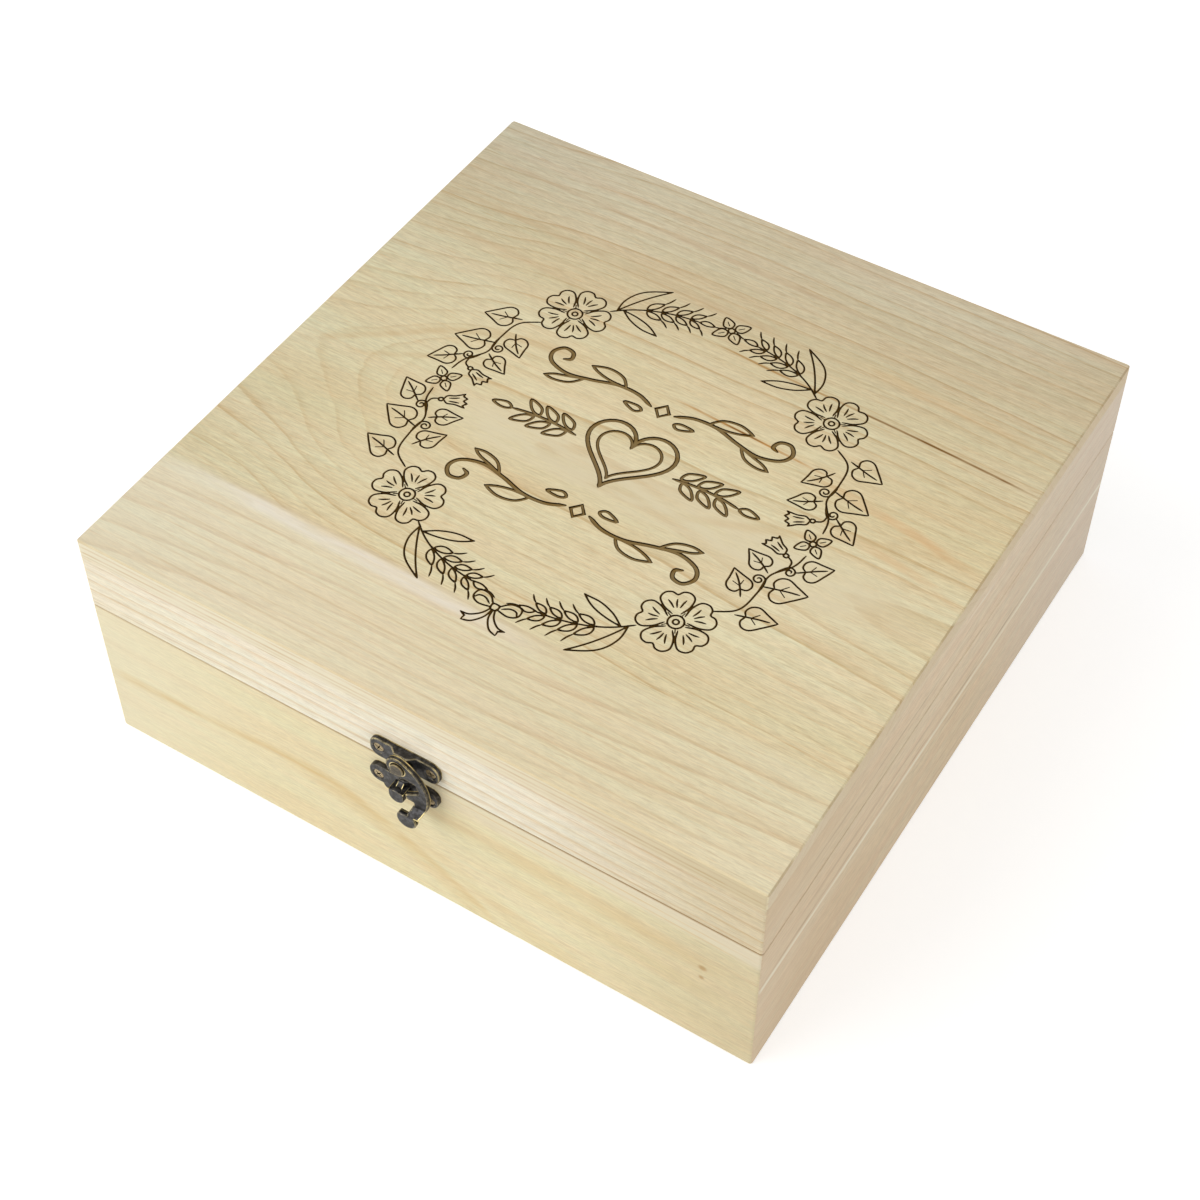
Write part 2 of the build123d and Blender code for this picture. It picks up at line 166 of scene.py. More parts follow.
# The grain of a pine board. Board is the place in millimetres: along the grain, across it and into
# the board. Arch is how far the year rings bow aside there, and Slope how they lean into the board.
figure, given, result = open_group(
    "pine figure",
    {"Board": None, "Arch": 0.0, "Ring Width": 6.0, "Slope": 0.4, "Wander": 3.0, "Seed": 0.0},
    ["Rings", "Fibre", "Pores", "Drift", "Tint", "Fuzz"],
)
WAVER = 1.7                          # millimetres by which a ring's line wavers
SEED_STEPS = (97.0, 53.0, 31.0)      # millimetres in the noise from one seed's board to the next's
spot = add(figure, "ShaderNodeSeparateXYZ", {0: given["Board"]}).outputs
steps = {axis: product(figure, given["Seed"], step) for axis, step in enumerate(SEED_STEPS)}
apart = add(figure, "ShaderNodeCombineXYZ", steps).outputs[0]
seeded = add(figure, "ShaderNodeVectorMath", {0: given["Board"], 1: apart}).outputs[0]
broad_bend, fine_bend = (calc(figure, "SUBTRACT", speckle(figure, seeded, stretch), 0.5)
                         for stretch in ((0.006, 0.022, 0.022), (0.016, 0.14, 0.14)))
bend = calc(figure, "ADD", product(figure, broad_bend, given["Wander"]), product(figure, fine_bend, WAVER))
layer = calc(figure, "ADD", calc(figure, "ADD", spot["Y"], given["Arch"]),
             product(figure, spot["Z"], given["Slope"]))
turn = calc(figure, "DIVIDE", calc(figure, "ADD", layer, bend), given["Ring Width"])
shape = curve_through(figure, calc(figure, "FRACT", turn),
                      [(0, 0.0), (0.4, 0.08), (0.7, 0.24), (0.87, 0.62), (0.94, 1.0), (1.0, 0.0)])
year = calc(figure, "ADD", calc(figure, "FLOOR", turn), given["Seed"])
chosen = add(figure, "ShaderNodeTexWhiteNoise", {"W": year}, noise_dimensions="1D").outputs["Value"]
strong = calc(figure, "MULTIPLY_ADD", chosen, 0.75, 0.25)
fading = rise(figure, speckle(figure, seeded, (0.01, 0.07, 0.07), shift=5.0), 0.28, 0.54, 0.45, 1.0)
feed(figure, result["Rings"], product(figure, shape, strong, fading))
dashes = speckle(figure, seeded, (0.1, 2.0, 2.0), detail=1.0, shift=3.0)
feed(figure, result["Pores"], rise(figure, dashes, 0.60, 0.72))
for label, stretch, detail, shift, roughness in (
    ("Fibre", (0.012, 0.6, 0.6), 5.0, 9.0, 0.66),
    ("Drift", (0.0045, 0.013, 0.013), 2.0, 7.0, 0.5),
    ("Tint", (0.011, 0.13, 0.13), 3.0, 6.0, 0.5),
    ("Fuzz", (0.2, 1.9, 1.9), 3.0, 4.0, 0.75),
):
    feed(figure, result[label], speckle(figure, seeded, stretch, detail, shift, roughness))


def pine(name, axes, pale, late, shade, marks=None, arch=None, ring_width=6.0, slope=0.4, wander=3.0,
         ring_depth=0.6, fibre_depth=0.3, fuzz=0.13, glow=0.5, seed=0.0, shine=0.3):
    """Sanded pine. axes says which object axis runs along the grain, across it and into the board."""
    pale, late, shade = (paint(*tone) for tone in (pale, late, shade))
    material, tree = open_material(name)
    split = add(tree, "ShaderNodeSeparateXYZ", {0: in_millimetres(tree)}).outputs
    along, across, deep = (split[axis] for axis in axes)
    board = add(tree, "ShaderNodeCombineXYZ", {0: along, 1: across, 2: deep}).outputs[0]
    bow = arch(tree, along, across) if arch else 0.0
    grain = add(tree, "ShaderNodeGroup", {"Board": board, "Arch": bow, "Ring Width": ring_width,
                                          "Slope": slope, "Wander": wander, "Seed": seed},
                node_tree=figure).outputs
    colour = mixed(tree, rise(tree, grain["Drift"], 0.36, 0.64), pale, shade)
    colour = mixed(tree, product(tree, grain["Rings"], ring_depth), colour, late)
    fibre = rise(tree, grain["Fibre"], 0.36, 0.66)
    colour = mixed(tree, product(tree, fibre, fibre_depth), colour, late)
    brown = mixed(tree, 0.5, late, paint(206, 158, 100))
    colour = mixed(tree, product(tree, grain["Pores"], fibre_depth * 1.4), colour, brown)
    warm = mixed(tree, rise(tree, grain["Tint"], 0.32, 0.68), paint(253, 255, 248), paint(255, 249, 240))
    colour = mixed(tree, glow, colour, warm, "MULTIPLY")
    sanded = rise(tree, grain["Fuzz"], 0.25, 0.75, 1.0 - fuzz, 1.0 + fuzz)
    colour = mixed(tree, 1.0, colour, sanded, "MULTIPLY")
    if marks:
        colour = marks(tree, along, across, deep, colour)
    height = calc(tree, "ADD", product(tree, fibre, -0.5), product(tree, grain["Pores"], -0.6))
    relief = add(tree, "ShaderNodeBump", {"Strength": 0.35, "Distance": 0.0001, "Height": height})
    skin = add(tree, "ShaderNodeBsdfPrincipled", {
        "Base Color": colour,
        "Roughness": rise(tree, grain["Fibre"], 0.3, 0.7, 0.58, 0.70),
        "Normal": relief.outputs[0],
        "Specular IOR Level": shine,
    })
    add(tree, "ShaderNodeOutputMaterial", {0: skin.outputs[0]})
    return material


def finish(node, material):
    """A piece of the frame keeps its shape and takes this finish."""
    mesh = nodes[node].data
    mesh.materials.clear()
    mesh.materials.append(material)


# One streak: 1 on its centre line, less to its sides and ends, and patchy where it is broken.
streak_mask, given, result = open_group(
    "streak in the wood",
    {"Along": 0.0, "Across": 0.0, "Centre": 0.0, "Half Width": 1.0, "Start": 0.0, "End": 1.0,
     "Fade": 10.0, "Broken": 0.5},
    ["Mask"],
)
off = calc(streak_mask, "ABSOLUTE", calc(streak_mask, "SUBTRACT", given["Across"], given["Centre"]))
core = rise(streak_mask, calc(streak_mask, "DIVIDE", off, given["Half Width"]), 0.15, 1.0, 1.0, 0.0)
begun, left = (calc(streak_mask, "DIVIDE", calc(streak_mask, "SUBTRACT", given[far], given[near]),
                    given["Fade"], clamp=True) for far, near in (("Along", "Start"), ("End", "Along")))
inside = product(streak_mask, begun, left)
place = add(streak_mask, "ShaderNodeCombineXYZ", {0: given["Along"], 1: given["Across"]}).outputs[0]
patchy = rise(streak_mask, speckle(streak_mask, place, (0.05, 0.3, 1.0), detail=3.0), 0.34, 0.62)
gaps = product(streak_mask, calc(streak_mask, "SUBTRACT", 1.0, patchy), given["Broken"])
kept = calc(streak_mask, "SUBTRACT", 1.0, gaps)
feed(streak_mask, result["Mask"], product(streak_mask, core, inside, kept))


def streaks(tree, along, across, colour, rows):
    """Streaks in the wood. A row gives a streak's points as (along, across) in millimetres, half its
    width, its tint and strength, how long its ends take to fade, and how broken it is."""
    for points, half_width, tint, strength, fade, broken in rows:
        line = add(tree, "ShaderNodeGroup", {
            "Along": along, "Across": across, "Centre": curve_through(tree, along, points),
            "Half Width": half_width, "Start": points[0][0], "End": points[-1][0],
            "Fade": fade, "Broken": broken}, node_tree=streak_mask)
        colour = mixed(tree, product(tree, line.outputs[0], strength), colour, paint(*tint))
    return colour


def knot(tree, along, across, colour, middle, size):
    """A small knot, as a soft oval patch."""
    offsets = [calc(tree, "DIVIDE", calc(tree, "SUBTRACT", value, centre), reach)
               for value, centre, reach in zip((along, across), middle, size)]
    squares = [product(tree, offset, offset) for offset in offsets]
    far = calc(tree, "SQRT", calc(tree, "ADD", *squares))
    return mixed(tree, rise(tree, far, 0.2, 1.0, 0.8, 0.0), colour, paint(188, 150, 98))


def seam_burn_and_shade(tree, across, deep, colour, strength, tint=(152, 114, 58)):
    """The outer edge of the saw cut that parts the lid from the base is browned by the blade, and
    darkened there as painted shade in the gap of the seam.
    """
    near = rise(tree, calc(tree, "ABSOLUTE", calc(tree, "SUBTRACT", across, SEAM)), 0.2, 0.75, 1.0, 0.0)
    outer = rise(tree, calc(tree, "ABSOLUTE", deep), OUTSIDE - 1.2, OUTSIDE - 0.5)
    return mixed(tree, product(tree, near, outer, strength), colour, paint(*tint))


def front_wall_marks(tree, along, across, deep, colour):
    """The front board: yellowed by golden streaks, paler at its upper right, and with two knots."""
    colour = mixed(tree, rise(tree, along, -40, -END, 0.0, 0.5), colour, paint(243, 234, 204))
    colour = mixed(tree, rise(tree, along, 50, END), colour, paint(239, 235, 233), "MULTIPLY")
    wedge = product(tree, rise(tree, across, 59, 64), rise(tree, along, -20, 60), 0.6)
    colour = mixed(tree, wedge, colour, paint(238, 227, 202))
    golden = (222, 190, 126)
    colour = streaks(tree, along, across, colour, (
        ([(-END, 33.2), (-90, 35), (-42, 37.8), (-14, 31)], 1.6, golden, 0.35, 20, 0.5),
        ([(-END, 33.4), (-90, 35.4), (-42, 38.4), (-14, 30), (20, 12), (36, 0)], 4.2, golden, 0.4, 8, 0.5),
        ([(-60, 38), (-42, 36), (-14, 27), (20, 8), (36, -4)], 9.0, golden, 0.4, 20, 0.5),
        ([(-30, 39.5), (-10, 35), (30, 17), (60, 4), (80, 0)], 8.0, golden, 0.25, 20, 0.5),
        ([(-20, 54), (20, 52), (90, 48), (END, 46)], 8.0, golden, 0.3, 40, 0.5),
        ([(20, 38), (60, 34), (END, 30)], 7.0, golden, 0.2, 30, 0.5),
        ([(10, 67.2), (70, 66.4), (END, 65.0)], 0.6, golden, 0.65, 20, 0.5),
        ([(30, 63.6), (80, 62.9), (END, 61.4)], 0.6, golden, 0.5, 20, 0.5),
    ))
    for middle, size in KNOTS:
        colour = knot(tree, along, across, colour, middle, size)
    return seam_burn_and_shade(tree, across, deep, colour, rise(tree, along, -END, 60, 0.55, 0.9))


def side_marks(front_shade_tone, rows):
    """The marks on a side board: greyer to the rear, and yellowed and darker to the front as painted
    shade, with these streaks.
    """
    def marks(tree, along, across, deep, colour):
        colour = mixed(tree, rise(tree, along, 0, END, 0.0, 0.4), colour, paint(226, 214, 204))
        # Painted shade: the front end of the board is painted darker and yellower.
        colour = mixed(tree, rise(tree, along, -20, -END, 0.0, 0.45), colour, paint(*front_shade_tone))
        colour = streaks(tree, along, across, colour, rows)
        return seam_burn_and_shade(tree, across, deep, colour, rise(tree, along, -END, 40, 0.6, 0.3), (150, 122, 90))
    return marks


def back_marks(tree, along, across, deep, colour):
    """The back board and rail show nothing but the browned saw cut and its painted seam shade."""
    return seam_burn_and_shade(tree, across, deep, colour, 0.6)


side_wall_marks = side_marks((214, 190, 156), (
    ([(-END, 59), (-60, 57), (40, 55)], 1.5, (186, 162, 130), 0.5, 60, 0.5),
    ([(-END, 50.4), (-60, 48.8), (30, 46.6), (70, 46.0)], 1.4, (176, 150, 116), 0.6, 20, 0.9),
    ([(-END, 47.3), (-60, 45.5), (30, 43.4), (END, 42.3)], 2.0, (244, 238, 216), 0.7, 2, 0.4),
    ([(-6, 37.6), (10, 37), (24, 36.6)], 1.2, (180, 136, 106), 0.55, 12, 0.5),
))
front_pine = pine("pine front wall", "XZY", (245, 236, 204), (214, 192, 146), (241, 229, 192),
                  front_wall_marks, ring_width=17.0, slope=2.6, wander=26.0, ring_depth=0.2,
                  fibre_depth=0.16, fuzz=0.11, glow=0.8, seed=3.0)
side_pine = pine("pine side walls", "YZX", (231, 212, 186), (198, 172, 142), (223, 203, 172),
                 side_wall_marks, ring_width=8.5, slope=0.5, wander=8.0, ring_depth=0.25,
                 fibre_depth=0.24, glow=0.8, seed=8.0)
back_pine = pine("pine back wall", "XZY", (233, 219, 184), (200, 172, 124), (226, 208, 168),
                 back_marks, ring_width=10.0, slope=1.2, wander=16.0, ring_depth=0.45, fibre_depth=0.2,
                 seed=21.0)
finish("base_front_wall", front_pine)
finish("base_back_wall", back_pine)
finish("base_left_wall", side_pine)
finish("base_right_wall", side_pine)


# ---------------------------------------------------------------------------- bottom panel
# A sheet of thin plywood let into a rebate in the walls and glued there, flush with their underside.
# The face veneer is peeled, so its rings are wide and wild.
finish("base_bottom_panel",
       pine("plywood bottom", "XYZ", (231, 214, 176), (196, 165, 116), (222, 201, 158),
            ring_width=14.0, slope=0.2, wander=60.0, fibre_depth=0.25, seed=33.0))


# ---------------------------------------------------------------------------- lid rails
# The lid's frame of four mitred pine rails, the same 9 mm thick as the walls and flush with them.
# The front rail is cream, with fine golden rings that bow gently upwards in the middle.
def front_rail_arch(tree, along, across):
    """How far the front rail's rings bow, from one end to the other."""
    bow = [(-END, 0.0), (-90, -1.6), (-50, -2.4), (0, -2.5), (60, -1.2), (END, 0.5)]
    return calc(tree, "ADD", curve_through(tree, along, bow), 0.4)


def front_rail_marks(tree, along, across, deep, colour):
    """The front rail: greyer to the right, and with three rings that stand out."""
    colour = mixed(tree, rise(tree, along, 20, END), colour, paint(232, 224, 209), "MULTIPLY")
    rings = (
        ([(-END, 94.4), (-95, 96.0), (-50, 96.9), (0, 96.9), (70, 95.6), (END, 94.5)], 0.5),
        ([(-END, 79.8), (-95, 81.0), (-45, 81.7), (10, 81.4), (80, 79.6), (END, 78.5)], 0.35),
        ([(-END, 73.0), (-90, 74.2), (-40, 74.9), (30, 74.2), (END, 73.0)], 0.4),
    )
    colour = streaks(tree, along, across, colour,
                     [(points, 0.7, (206, 170, 116), strength, 3, 0.85) for points, strength in rings])
    return seam_burn_and_shade(tree, across, deep, colour, rise(tree, along, -END, 60, 0.55, 0.9))


side_rail_marks = side_marks((212, 188, 154), (
    ([(-END, 84.4), (-60, 81.0), (20, 79.5)], 1.3, (184, 158, 124), 0.5, 50, 0.7),
    ([(-5, 91.5), (20, 91), (30, 90.4)], 1.2, (240, 232, 212), 0.7, 12, 0.5),
))
rail_pine = pine("pine front rail", "XZY", (251, 246, 231), (220, 187, 128), (249, 241, 221),
                 front_rail_marks, front_rail_arch, ring_width=5.6, slope=0.5, wander=5.0,
                 ring_depth=0.55, fibre_depth=0.16, fuzz=0.12, glow=0.6, seed=5.0)
side_rail_pine = pine("pine side rails", "YZX", (231, 212, 186), (198, 173, 142), (223, 203, 172),
                      side_rail_marks, ring_width=7.0, wander=6.0, ring_depth=0.25,
                      fibre_depth=0.24, glow=0.8, seed=12.0)
finish("lid_front_rail", rail_pine)
finish("lid_back_rail", back_pine)
finish("lid_left_rail", side_rail_pine)
finish("lid_right_rail", side_rail_pine)


# ---------------------------------------------------------------------------- engraved top
# The top is one wide pine board, 8 mm thick, glued flat on the rails, its grain running from left
# to right. A laser has burnt a wreath of flowers into it in fine lines, a third of a millimetre
# deep, and inside the wreath a plain heart and scrolls in broader and deeper ones.
LINE = 0.46              # half the width of the wreath's lines
BROAD = 0.95             # half the width of the heart's and the scrolls' lines
BROAD_FROM = 0.6         # a line is cut as a broad one if half its width is more than this
WALL_FOOT = 0.64         # a broad line's walls end at this share of its half width, and its bed is flat
BED_RIM, BED_LINE = 0.07, 0.14         # how far inside that foot the bed begins, and a line of points runs
LINE_DEPTH = 0.34
BROAD_DEPTH = 0.45
TAPER = 0.55             # the share of its width that a line still has at its end
TAPER_RUN = 5            # how long it tapers, in half widths
TOUCH = 0.96             # a point is cut if it lies within this share of a line's half width
SAMPLE_STEP = 0.25       # from one sample on a centre line to the next, in half widths
WREATH_RADIUS = 77.5
WREATH_MIDDLE = (2.6, -3.8)
CORNER = 1.2             # the radius of the board's upright corners
ARRIS = 0.5              # how much of its sharp upper edge is taken off
SIDE_CHIP, EDGE_CHIP = 0.22, 0.05      # how deep the saw chipped that edge: end grain, and long grain
GRID_HALF, GRID_STEP = 126, 14.0       # points spread over the face, which keep its triangles short
panel_low, panel_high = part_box("lid_top_panel")
HALF_PANEL = panel_high.x * MM
PANEL_TOP = panel_high.z * MM
PANEL_FOOT = panel_low.z * MM


def smooth(points, closed=False, step=0.8):
    """Points about a step apart on a smooth curve through the given ones."""
    p = np.array(points, float)
    if closed:
        p = np.vstack([p[-1], p, p[0], p[1]])
    else:
        p = np.vstack([2 * p[0] - p[1], p, 2 * p[-1] - p[-2]])
    out = []
    for a, b, c, d in zip(p[:-3], p[1:-2], p[2:-1], p[3:]):
        count = max(2, int(math.ceil(np.linalg.norm(c - b) / step)))
        for t in np.arange(count) / count:
            out.append(0.5 * (2 * b + (c - a) * t + (2 * a - 5 * b + 4 * c - d) * t ** 2
                              + (3 * b - a - 3 * c + d) * t ** 3))
    if not closed:
        out.append(p[-2])
    return np.array(out)


def stroke(points, closed=False, half=LINE, curved=True):
    """A drawn line: its points, whether it closes, and half its width. Sizes are in millimetres."""
    line = smooth(points, closed) if curved else np.array(points, float)
    return {"line": line, "closed": closed, "half": half}


def twins(points, **how):
    """A stroke, and its mirror image on the other side of the stem."""
    return [stroke(points, **how), stroke([(x, -y) for x, y in points], **how)]


def moved(strokes, turn=0.0, to=(0.0, 0.0), size=1.0, flip=False):
    """The same strokes mirrored, scaled, turned by degrees and shifted."""
    c, s = math.cos(math.radians(turn)), math.sin(math.radians(turn))
    spin = np.array([[c, s], [-s, c]])
    side = np.array([1.0, -1.0 if flip else 1.0])
    return [{**one, "line": (one["line"] * side * size) @ spin + np.array(to)} for one in strokes]


def mirrored(strokes, across, up, shift=(0.0, 0.0)):
    """The same strokes scaled across and up, where a negative scale mirrors them, and shifted."""
    return [{**one, "line": one["line"] * np.array([across, up]) + np.array(shift)} for one in strokes]


def bent(strokes, start, forward):
    """Strokes drawn along a straight band are laid round the wreath from this angle, in degrees."""
    laid = []
    for one in strokes:
        angle = math.radians(start) + forward * one["line"][:, 0] / WREATH_RADIUS
        radius = WREATH_RADIUS + one["line"][:, 1]
        laid.append({**one, "line": np.stack([radius * np.cos(angle), radius * np.sin(angle)], 1)})
    return laid


def circle(radius, count, middle=(0.0, 0.0)):
    """Points round a circle, anticlockwise."""
    turns = np.arange(count) * 2 * math.pi / count
    return np.stack([middle[0] + radius * np.cos(turns), middle[1] + radius * np.sin(turns)], 1)


def ring_line(radius, count, middle=(0.0, 0.0)):
    """A circle as a stroke."""
    return stroke(circle(radius, count, middle), closed=True, curved=False)


def wild_rose():
    """Five notched petals, each with three veins, round a ring of stamens."""
    side = [(3.6, -1.5), (6.6, -4.4), (10.4, -5.9), (12.9, -4.4), (13.3, -1.9)]
    petal = [stroke(side + [(12.1, 0.0)] + [(x, -y) for x, y in reversed(side)]),
             stroke([(6.4, 0.0), (8.4, 0.15), (10.0, 0.0)]), *twins([(6.3, 1.1), (8.2, 2.1), (9.6, 3.1)])]
    stamen = [stroke([(3.2, 0.0), (4.9, 0.0)], curved=False)]
    flower = [ring_line(2.9, 18), ring_line(1.1, 10)]
    for fifth in range(5):
        flower += moved(petal, 72 * fifth) + moved(stamen, 72 * fifth + 36)
    return flower


def ivy_leaf(length):
    """A heart-shaped leaf on a short stalk, from its root at the origin."""
    def sized(*points):
        return [(x * length, y * length) for x, y in points]

    edge = sized((0, 0), (-0.09, 0.22), (0.04, 0.43), (0.30, 0.47), (0.62, 0.26), (1.0, 0.0))
    stem = sized((-0.35, 0.04), (0, 0), (0.4, -0.02), (0.76, 0))
    return [*twins(edge), stroke(stem), *twins(sized((0.16, 0), (0.38, 0.2)), curved=False)]


def curl(size, turns=1.45):
    """A tendril that winds up into a spiral."""
    points = [(0, 0), (size * 0.45, -size * 0.02)]
    for t in np.linspace(0, 1, 16):
        radius = size * (1 - 0.78 * t) * 0.5
        angle = -math.pi / 2 + 2 * math.pi * turns * t
        points.append((size * 0.9 + radius * math.cos(angle), size * 0.5 + radius * math.sin(angle)))
    return [stroke(points)]


def bellflower():
    """A small bell on a bent stalk, with a wavy mouth."""
    mouth = [(8.4, 4.5), (7.8, 2.9), (9.3, 1.6), (8.0, 0), (9.3, -1.6), (7.8, -2.9), (8.4, -4.5)]
    return [*twins([(0, 0.0), (1.4, 2.2), (4.6, 2.7), (8.4, 4.5)]), stroke(mouth),
            *twins([(2.2, 0.9), (4.4, 1.2), (6.2, 1.6)]), ring_line(1.0, 10, (-1.0, 0.0))]


def wheat_ear():
    """Pairs of grains up a stem, each with its beard, and a long blade to either side."""
    ear = [stroke([(0, 0), (10, 1.0), (22, 0.8), (35, -0.2)])]
    grain = [stroke([(0, 0), (1.7, 1.5), (4.2, 1.6), (6.9, 0), (4.2, -1.0), (1.7, -0.8)], closed=True),
             stroke([(7.2, 0.0), (9.4, 0.4), (11.8, 1.4)])]
    for row in range(4):
        for side in (1, -1):
            at = (14.0 + 5.7 * row, 1.0 - 0.3 * row + 0.6 * side)
            ear += moved(grain, 33 * side, at, 1.0 - 0.06 * row, side < 0)
    ear += moved(grain, 0, (35.0, -0.2), 0.85)
    for root, tip, edges in (
        ((2.5, 0.3), (21.5, 12.8), ([(6, 6.4), (12, 11.0)], [(9.0, 4.6), (15.0, 8.6)])),
        ((5.0, 0.6), (20, -12.6), ([(8, -5.2), (13, -9.8)], [(11.0, -3.6), (16, -7.8)])),
    ):
        ear += [stroke([root, *edge, tip]) for edge in edges]
    return ear


def ivy_vine():
    """A waving stem with leaves to each side, tendrils and a bellflower."""
    vine = [stroke([(0, 0), (8, 3.0), (17, 0.4), (26, -2.8), (35, 0.3), (41.5, 0.8)])]
    for at, turn, length, flip in (((8.4, 7.0), 52, 10.5, False), ((13.5, -4.4), -62, 10.0, True),
                                   ((23.0, 2.6), 62, 11.5, False), ((27.6, -7.2), -74, 9.5, True),
                                   ((35.6, 5.0), 50, 9.5, False)):
        vine += moved(ivy_leaf(length), turn, at, 1.0, flip)
    vine += moved(curl(5.0), -24, (18.6, 0.0), 1.0, True) + moved(curl(4.6), 16, (28.6, -2.4))
    vine += moved(bellflower(), -70, (37.6, -5.6), 0.95)
    return vine + [stroke([(33.0, -0.6), (36.0, -1.4), (37.4, -3.9)])]


def star_flower():
    """Four pointed petals with veins, where two stems meet."""
    petal = [stroke([(1.5, 0), (3.8, 2.3), (8.0, 0), (3.8, -2.3)], closed=True),
             stroke([(3.0, 0.0), (5.4, 0.0)], curved=False)]
    star = [ring_line(1.4, 12)]
    for quarter in range(4):
        star += moved(petal, 90 * quarter + 45)
    return star


def ribbon_bow():
    """A tied bow, its loops to both sides and its tails hanging."""
    loop = [stroke(points) for points in (
        [(1.6, 1.2), (6.0, 5.4), (11.6, 5.6), (12.6, 0.8), (8.4, -1.8), (1.6, -0.8)],
        [(3.4, 0.6), (7.0, 2.8), (10.4, 2.6), (12.0, 0.2)],
        [(1.2, -1.5), (3.6, -6.2), (8.0, -9.8), (12.4, -10.4)],
        [(0.2, -1.8), (1.2, -7.4), (5.0, -12.6), (9.6, -14.4)],
    )]
    loop.append(stroke([(12.4, -10.4), (9.4, -11.6), (9.6, -14.4)], curved=False))
    knotted = stroke([(-1.7, -1.6), (-1.9, 1.4), (0, 1.9), (1.9, 1.4), (1.7, -1.6), (0, -2.0)], closed=True)
    return loop + mirrored(loop, -1.0, 1.0) + [knotted]


def heart(width, half):
    """A plain heart with its point towards the front."""
    turns = np.arange(64) * 2 * math.pi / 64
    x = 16 * np.sin(turns) ** 3
    y = 13 * np.cos(turns) - 5 * np.cos(2 * turns) - 2 * np.cos(3 * turns) - np.cos(4 * turns) + 2.5
    return {"line": np.stack([x, y], 1) * width / 32, "closed": True, "half": half}


def scroll_divider():
    """Two mirrored scrolls from a small lozenge, each ending in a curl."""
    slim = BROAD * 0.75
    arm = [(5.0, 0.0), (12, 2.9), (21, 3.1), (31, 0.2), (40.5, -1.6), (48.5, 0.8), (51.0, 5.4), (48.4, 9.4),
           (44.2, 8.9), (43.0, 5.6), (45.4, 4.2)]
    parts = [stroke(arm, half=BROAD)]
    for root, tip, edges in (
        ((17.5, 3.4), (34.5, 6.8), ([(21.5, 7.6), (28, 8.8)], [(24.5, 3.6), (30, 4.8)])),
        ((33, -0.4), (47.5, -6.4), ([(37, -5.0), (42.5, -6.8)], [(39, -2.6), (44, -4.2)])),
    ):
        parts += [stroke([root, *edge, tip], half=slim) for edge in edges]
    parts.append(stroke([(7.0, -3.6), (9.4, -2.2), (14.5, -2.9), (9.4, -5.2)], closed=True, half=slim))
    lozenge = stroke([(0, 3.4), (2.8, 0), (0, -3.4), (-2.8, 0)], closed=True, half=slim, curved=False)
    return parts + mirrored(parts, -1.0, 1.0) + [lozenge]


def laurel_sprig():
    """A short stem with leaves in pairs, beside the heart."""
    sprig = [stroke([(0, 0), (9, 1.0), (19, 0.8), (27, -0.4)], half=BROAD * 0.8)]
    edge = [(0, 0), (2.4, 1.9), (5.6, 1.5), (8.6, 0), (5.6, -1.3), (2.4, -1.4)]
    leaf = [stroke(edge, closed=True, half=BROAD * 0.7)]
    for at in (2.5, 9.5, 16.5):
        sprig += moved(leaf, 38, (at, 1.6)) + moved(leaf, -38, (at + 1.5, -0.2), 1.0, True)
    return sprig + moved(leaf, -2, (27.4, -0.4), 0.9)


engraving = []
stalk = math.degrees(13.4 / WREATH_RADIUS)
for quarter in range(4):
    corner = 45 + 90 * quarter
    place = [(WREATH_RADIUS + 0.5) * way(math.radians(corner)) for way in (math.cos, math.sin)]
    engraving += moved(wild_rose(), corner + 18, place)
    ahead, behind = (ivy_vine, wheat_ear) if quarter % 2 else (wheat_ear, ivy_vine)
    engraving += bent(ahead(), corner + stalk, 1) + bent(behind(), corner - stalk, -1)
for across in (1, -1):
    engraving += moved(star_flower(), 0, (across * WREATH_RADIUS, 0), 0.85)
engraving += mirrored(ribbon_bow(), 0.72, 0.72, (0, -WREATH_RADIUS - 4.5))
engraving += moved(star_flower(), 0, (0, WREATH_RADIUS + 1.0), 0.95)
engraving += [heart(35, BROAD), heart(25, BROAD * 0.7)]
for across in (1.0, -1.0):
    engraving += mirrored(laurel_sprig(), across, 1.0, (across * 20.5, 1.0))
for up, height in ((1.0, 28.0), (-1.0, -30.0)):
    engraving += mirrored(scroll_divider(), 1.0, up, (0, height))
engraving = moved(engraving, 0, WREATH_MIDDLE)


def offset_line(line, closed, half, share):
    """The outline of a stroke: both its sides and round ends, at this share of its half width."""
    if closed:
        ahead, behind = np.roll(line, -1, 0), np.roll(line, 1, 0)
    else:
        ahead = np.vstack([line[1:], line[-1:]])
        behind = np.vstack([line[:1], line[:-1]])
    way = ahead - behind
    way /= np.maximum(np.linalg.norm(way, axis=1, keepdims=True), 1e-9)
    step = ahead - line
    straight = np.abs((step * way).sum(1)) / np.maximum(np.linalg.norm(step, axis=1), 1e-9)
    mitre = np.clip(1 / np.maximum(np.where(straight > 0, straight, 1.0), 0.5), 1.0, 2.0)
    side = np.stack([-way[:, 1], way[:, 0]], 1) * (half * share * mitre)[:, None]
    if closed:
        return [line + side, line - side]
    caps = []
    for end, sense in ((-1, 1), (0, -1)):
        start = math.atan2(side[end][1] * sense, side[end][0] * sense)
        turns = [start - math.pi * k / 4 for k in (1, 2, 3)]
        caps.append([line[end] + half[end] * share * np.array([math.cos(a), math.sin(a)]) for a in turns])
    return [np.vstack([line + side, caps[0], (line - side)[::-1], caps[1]])]


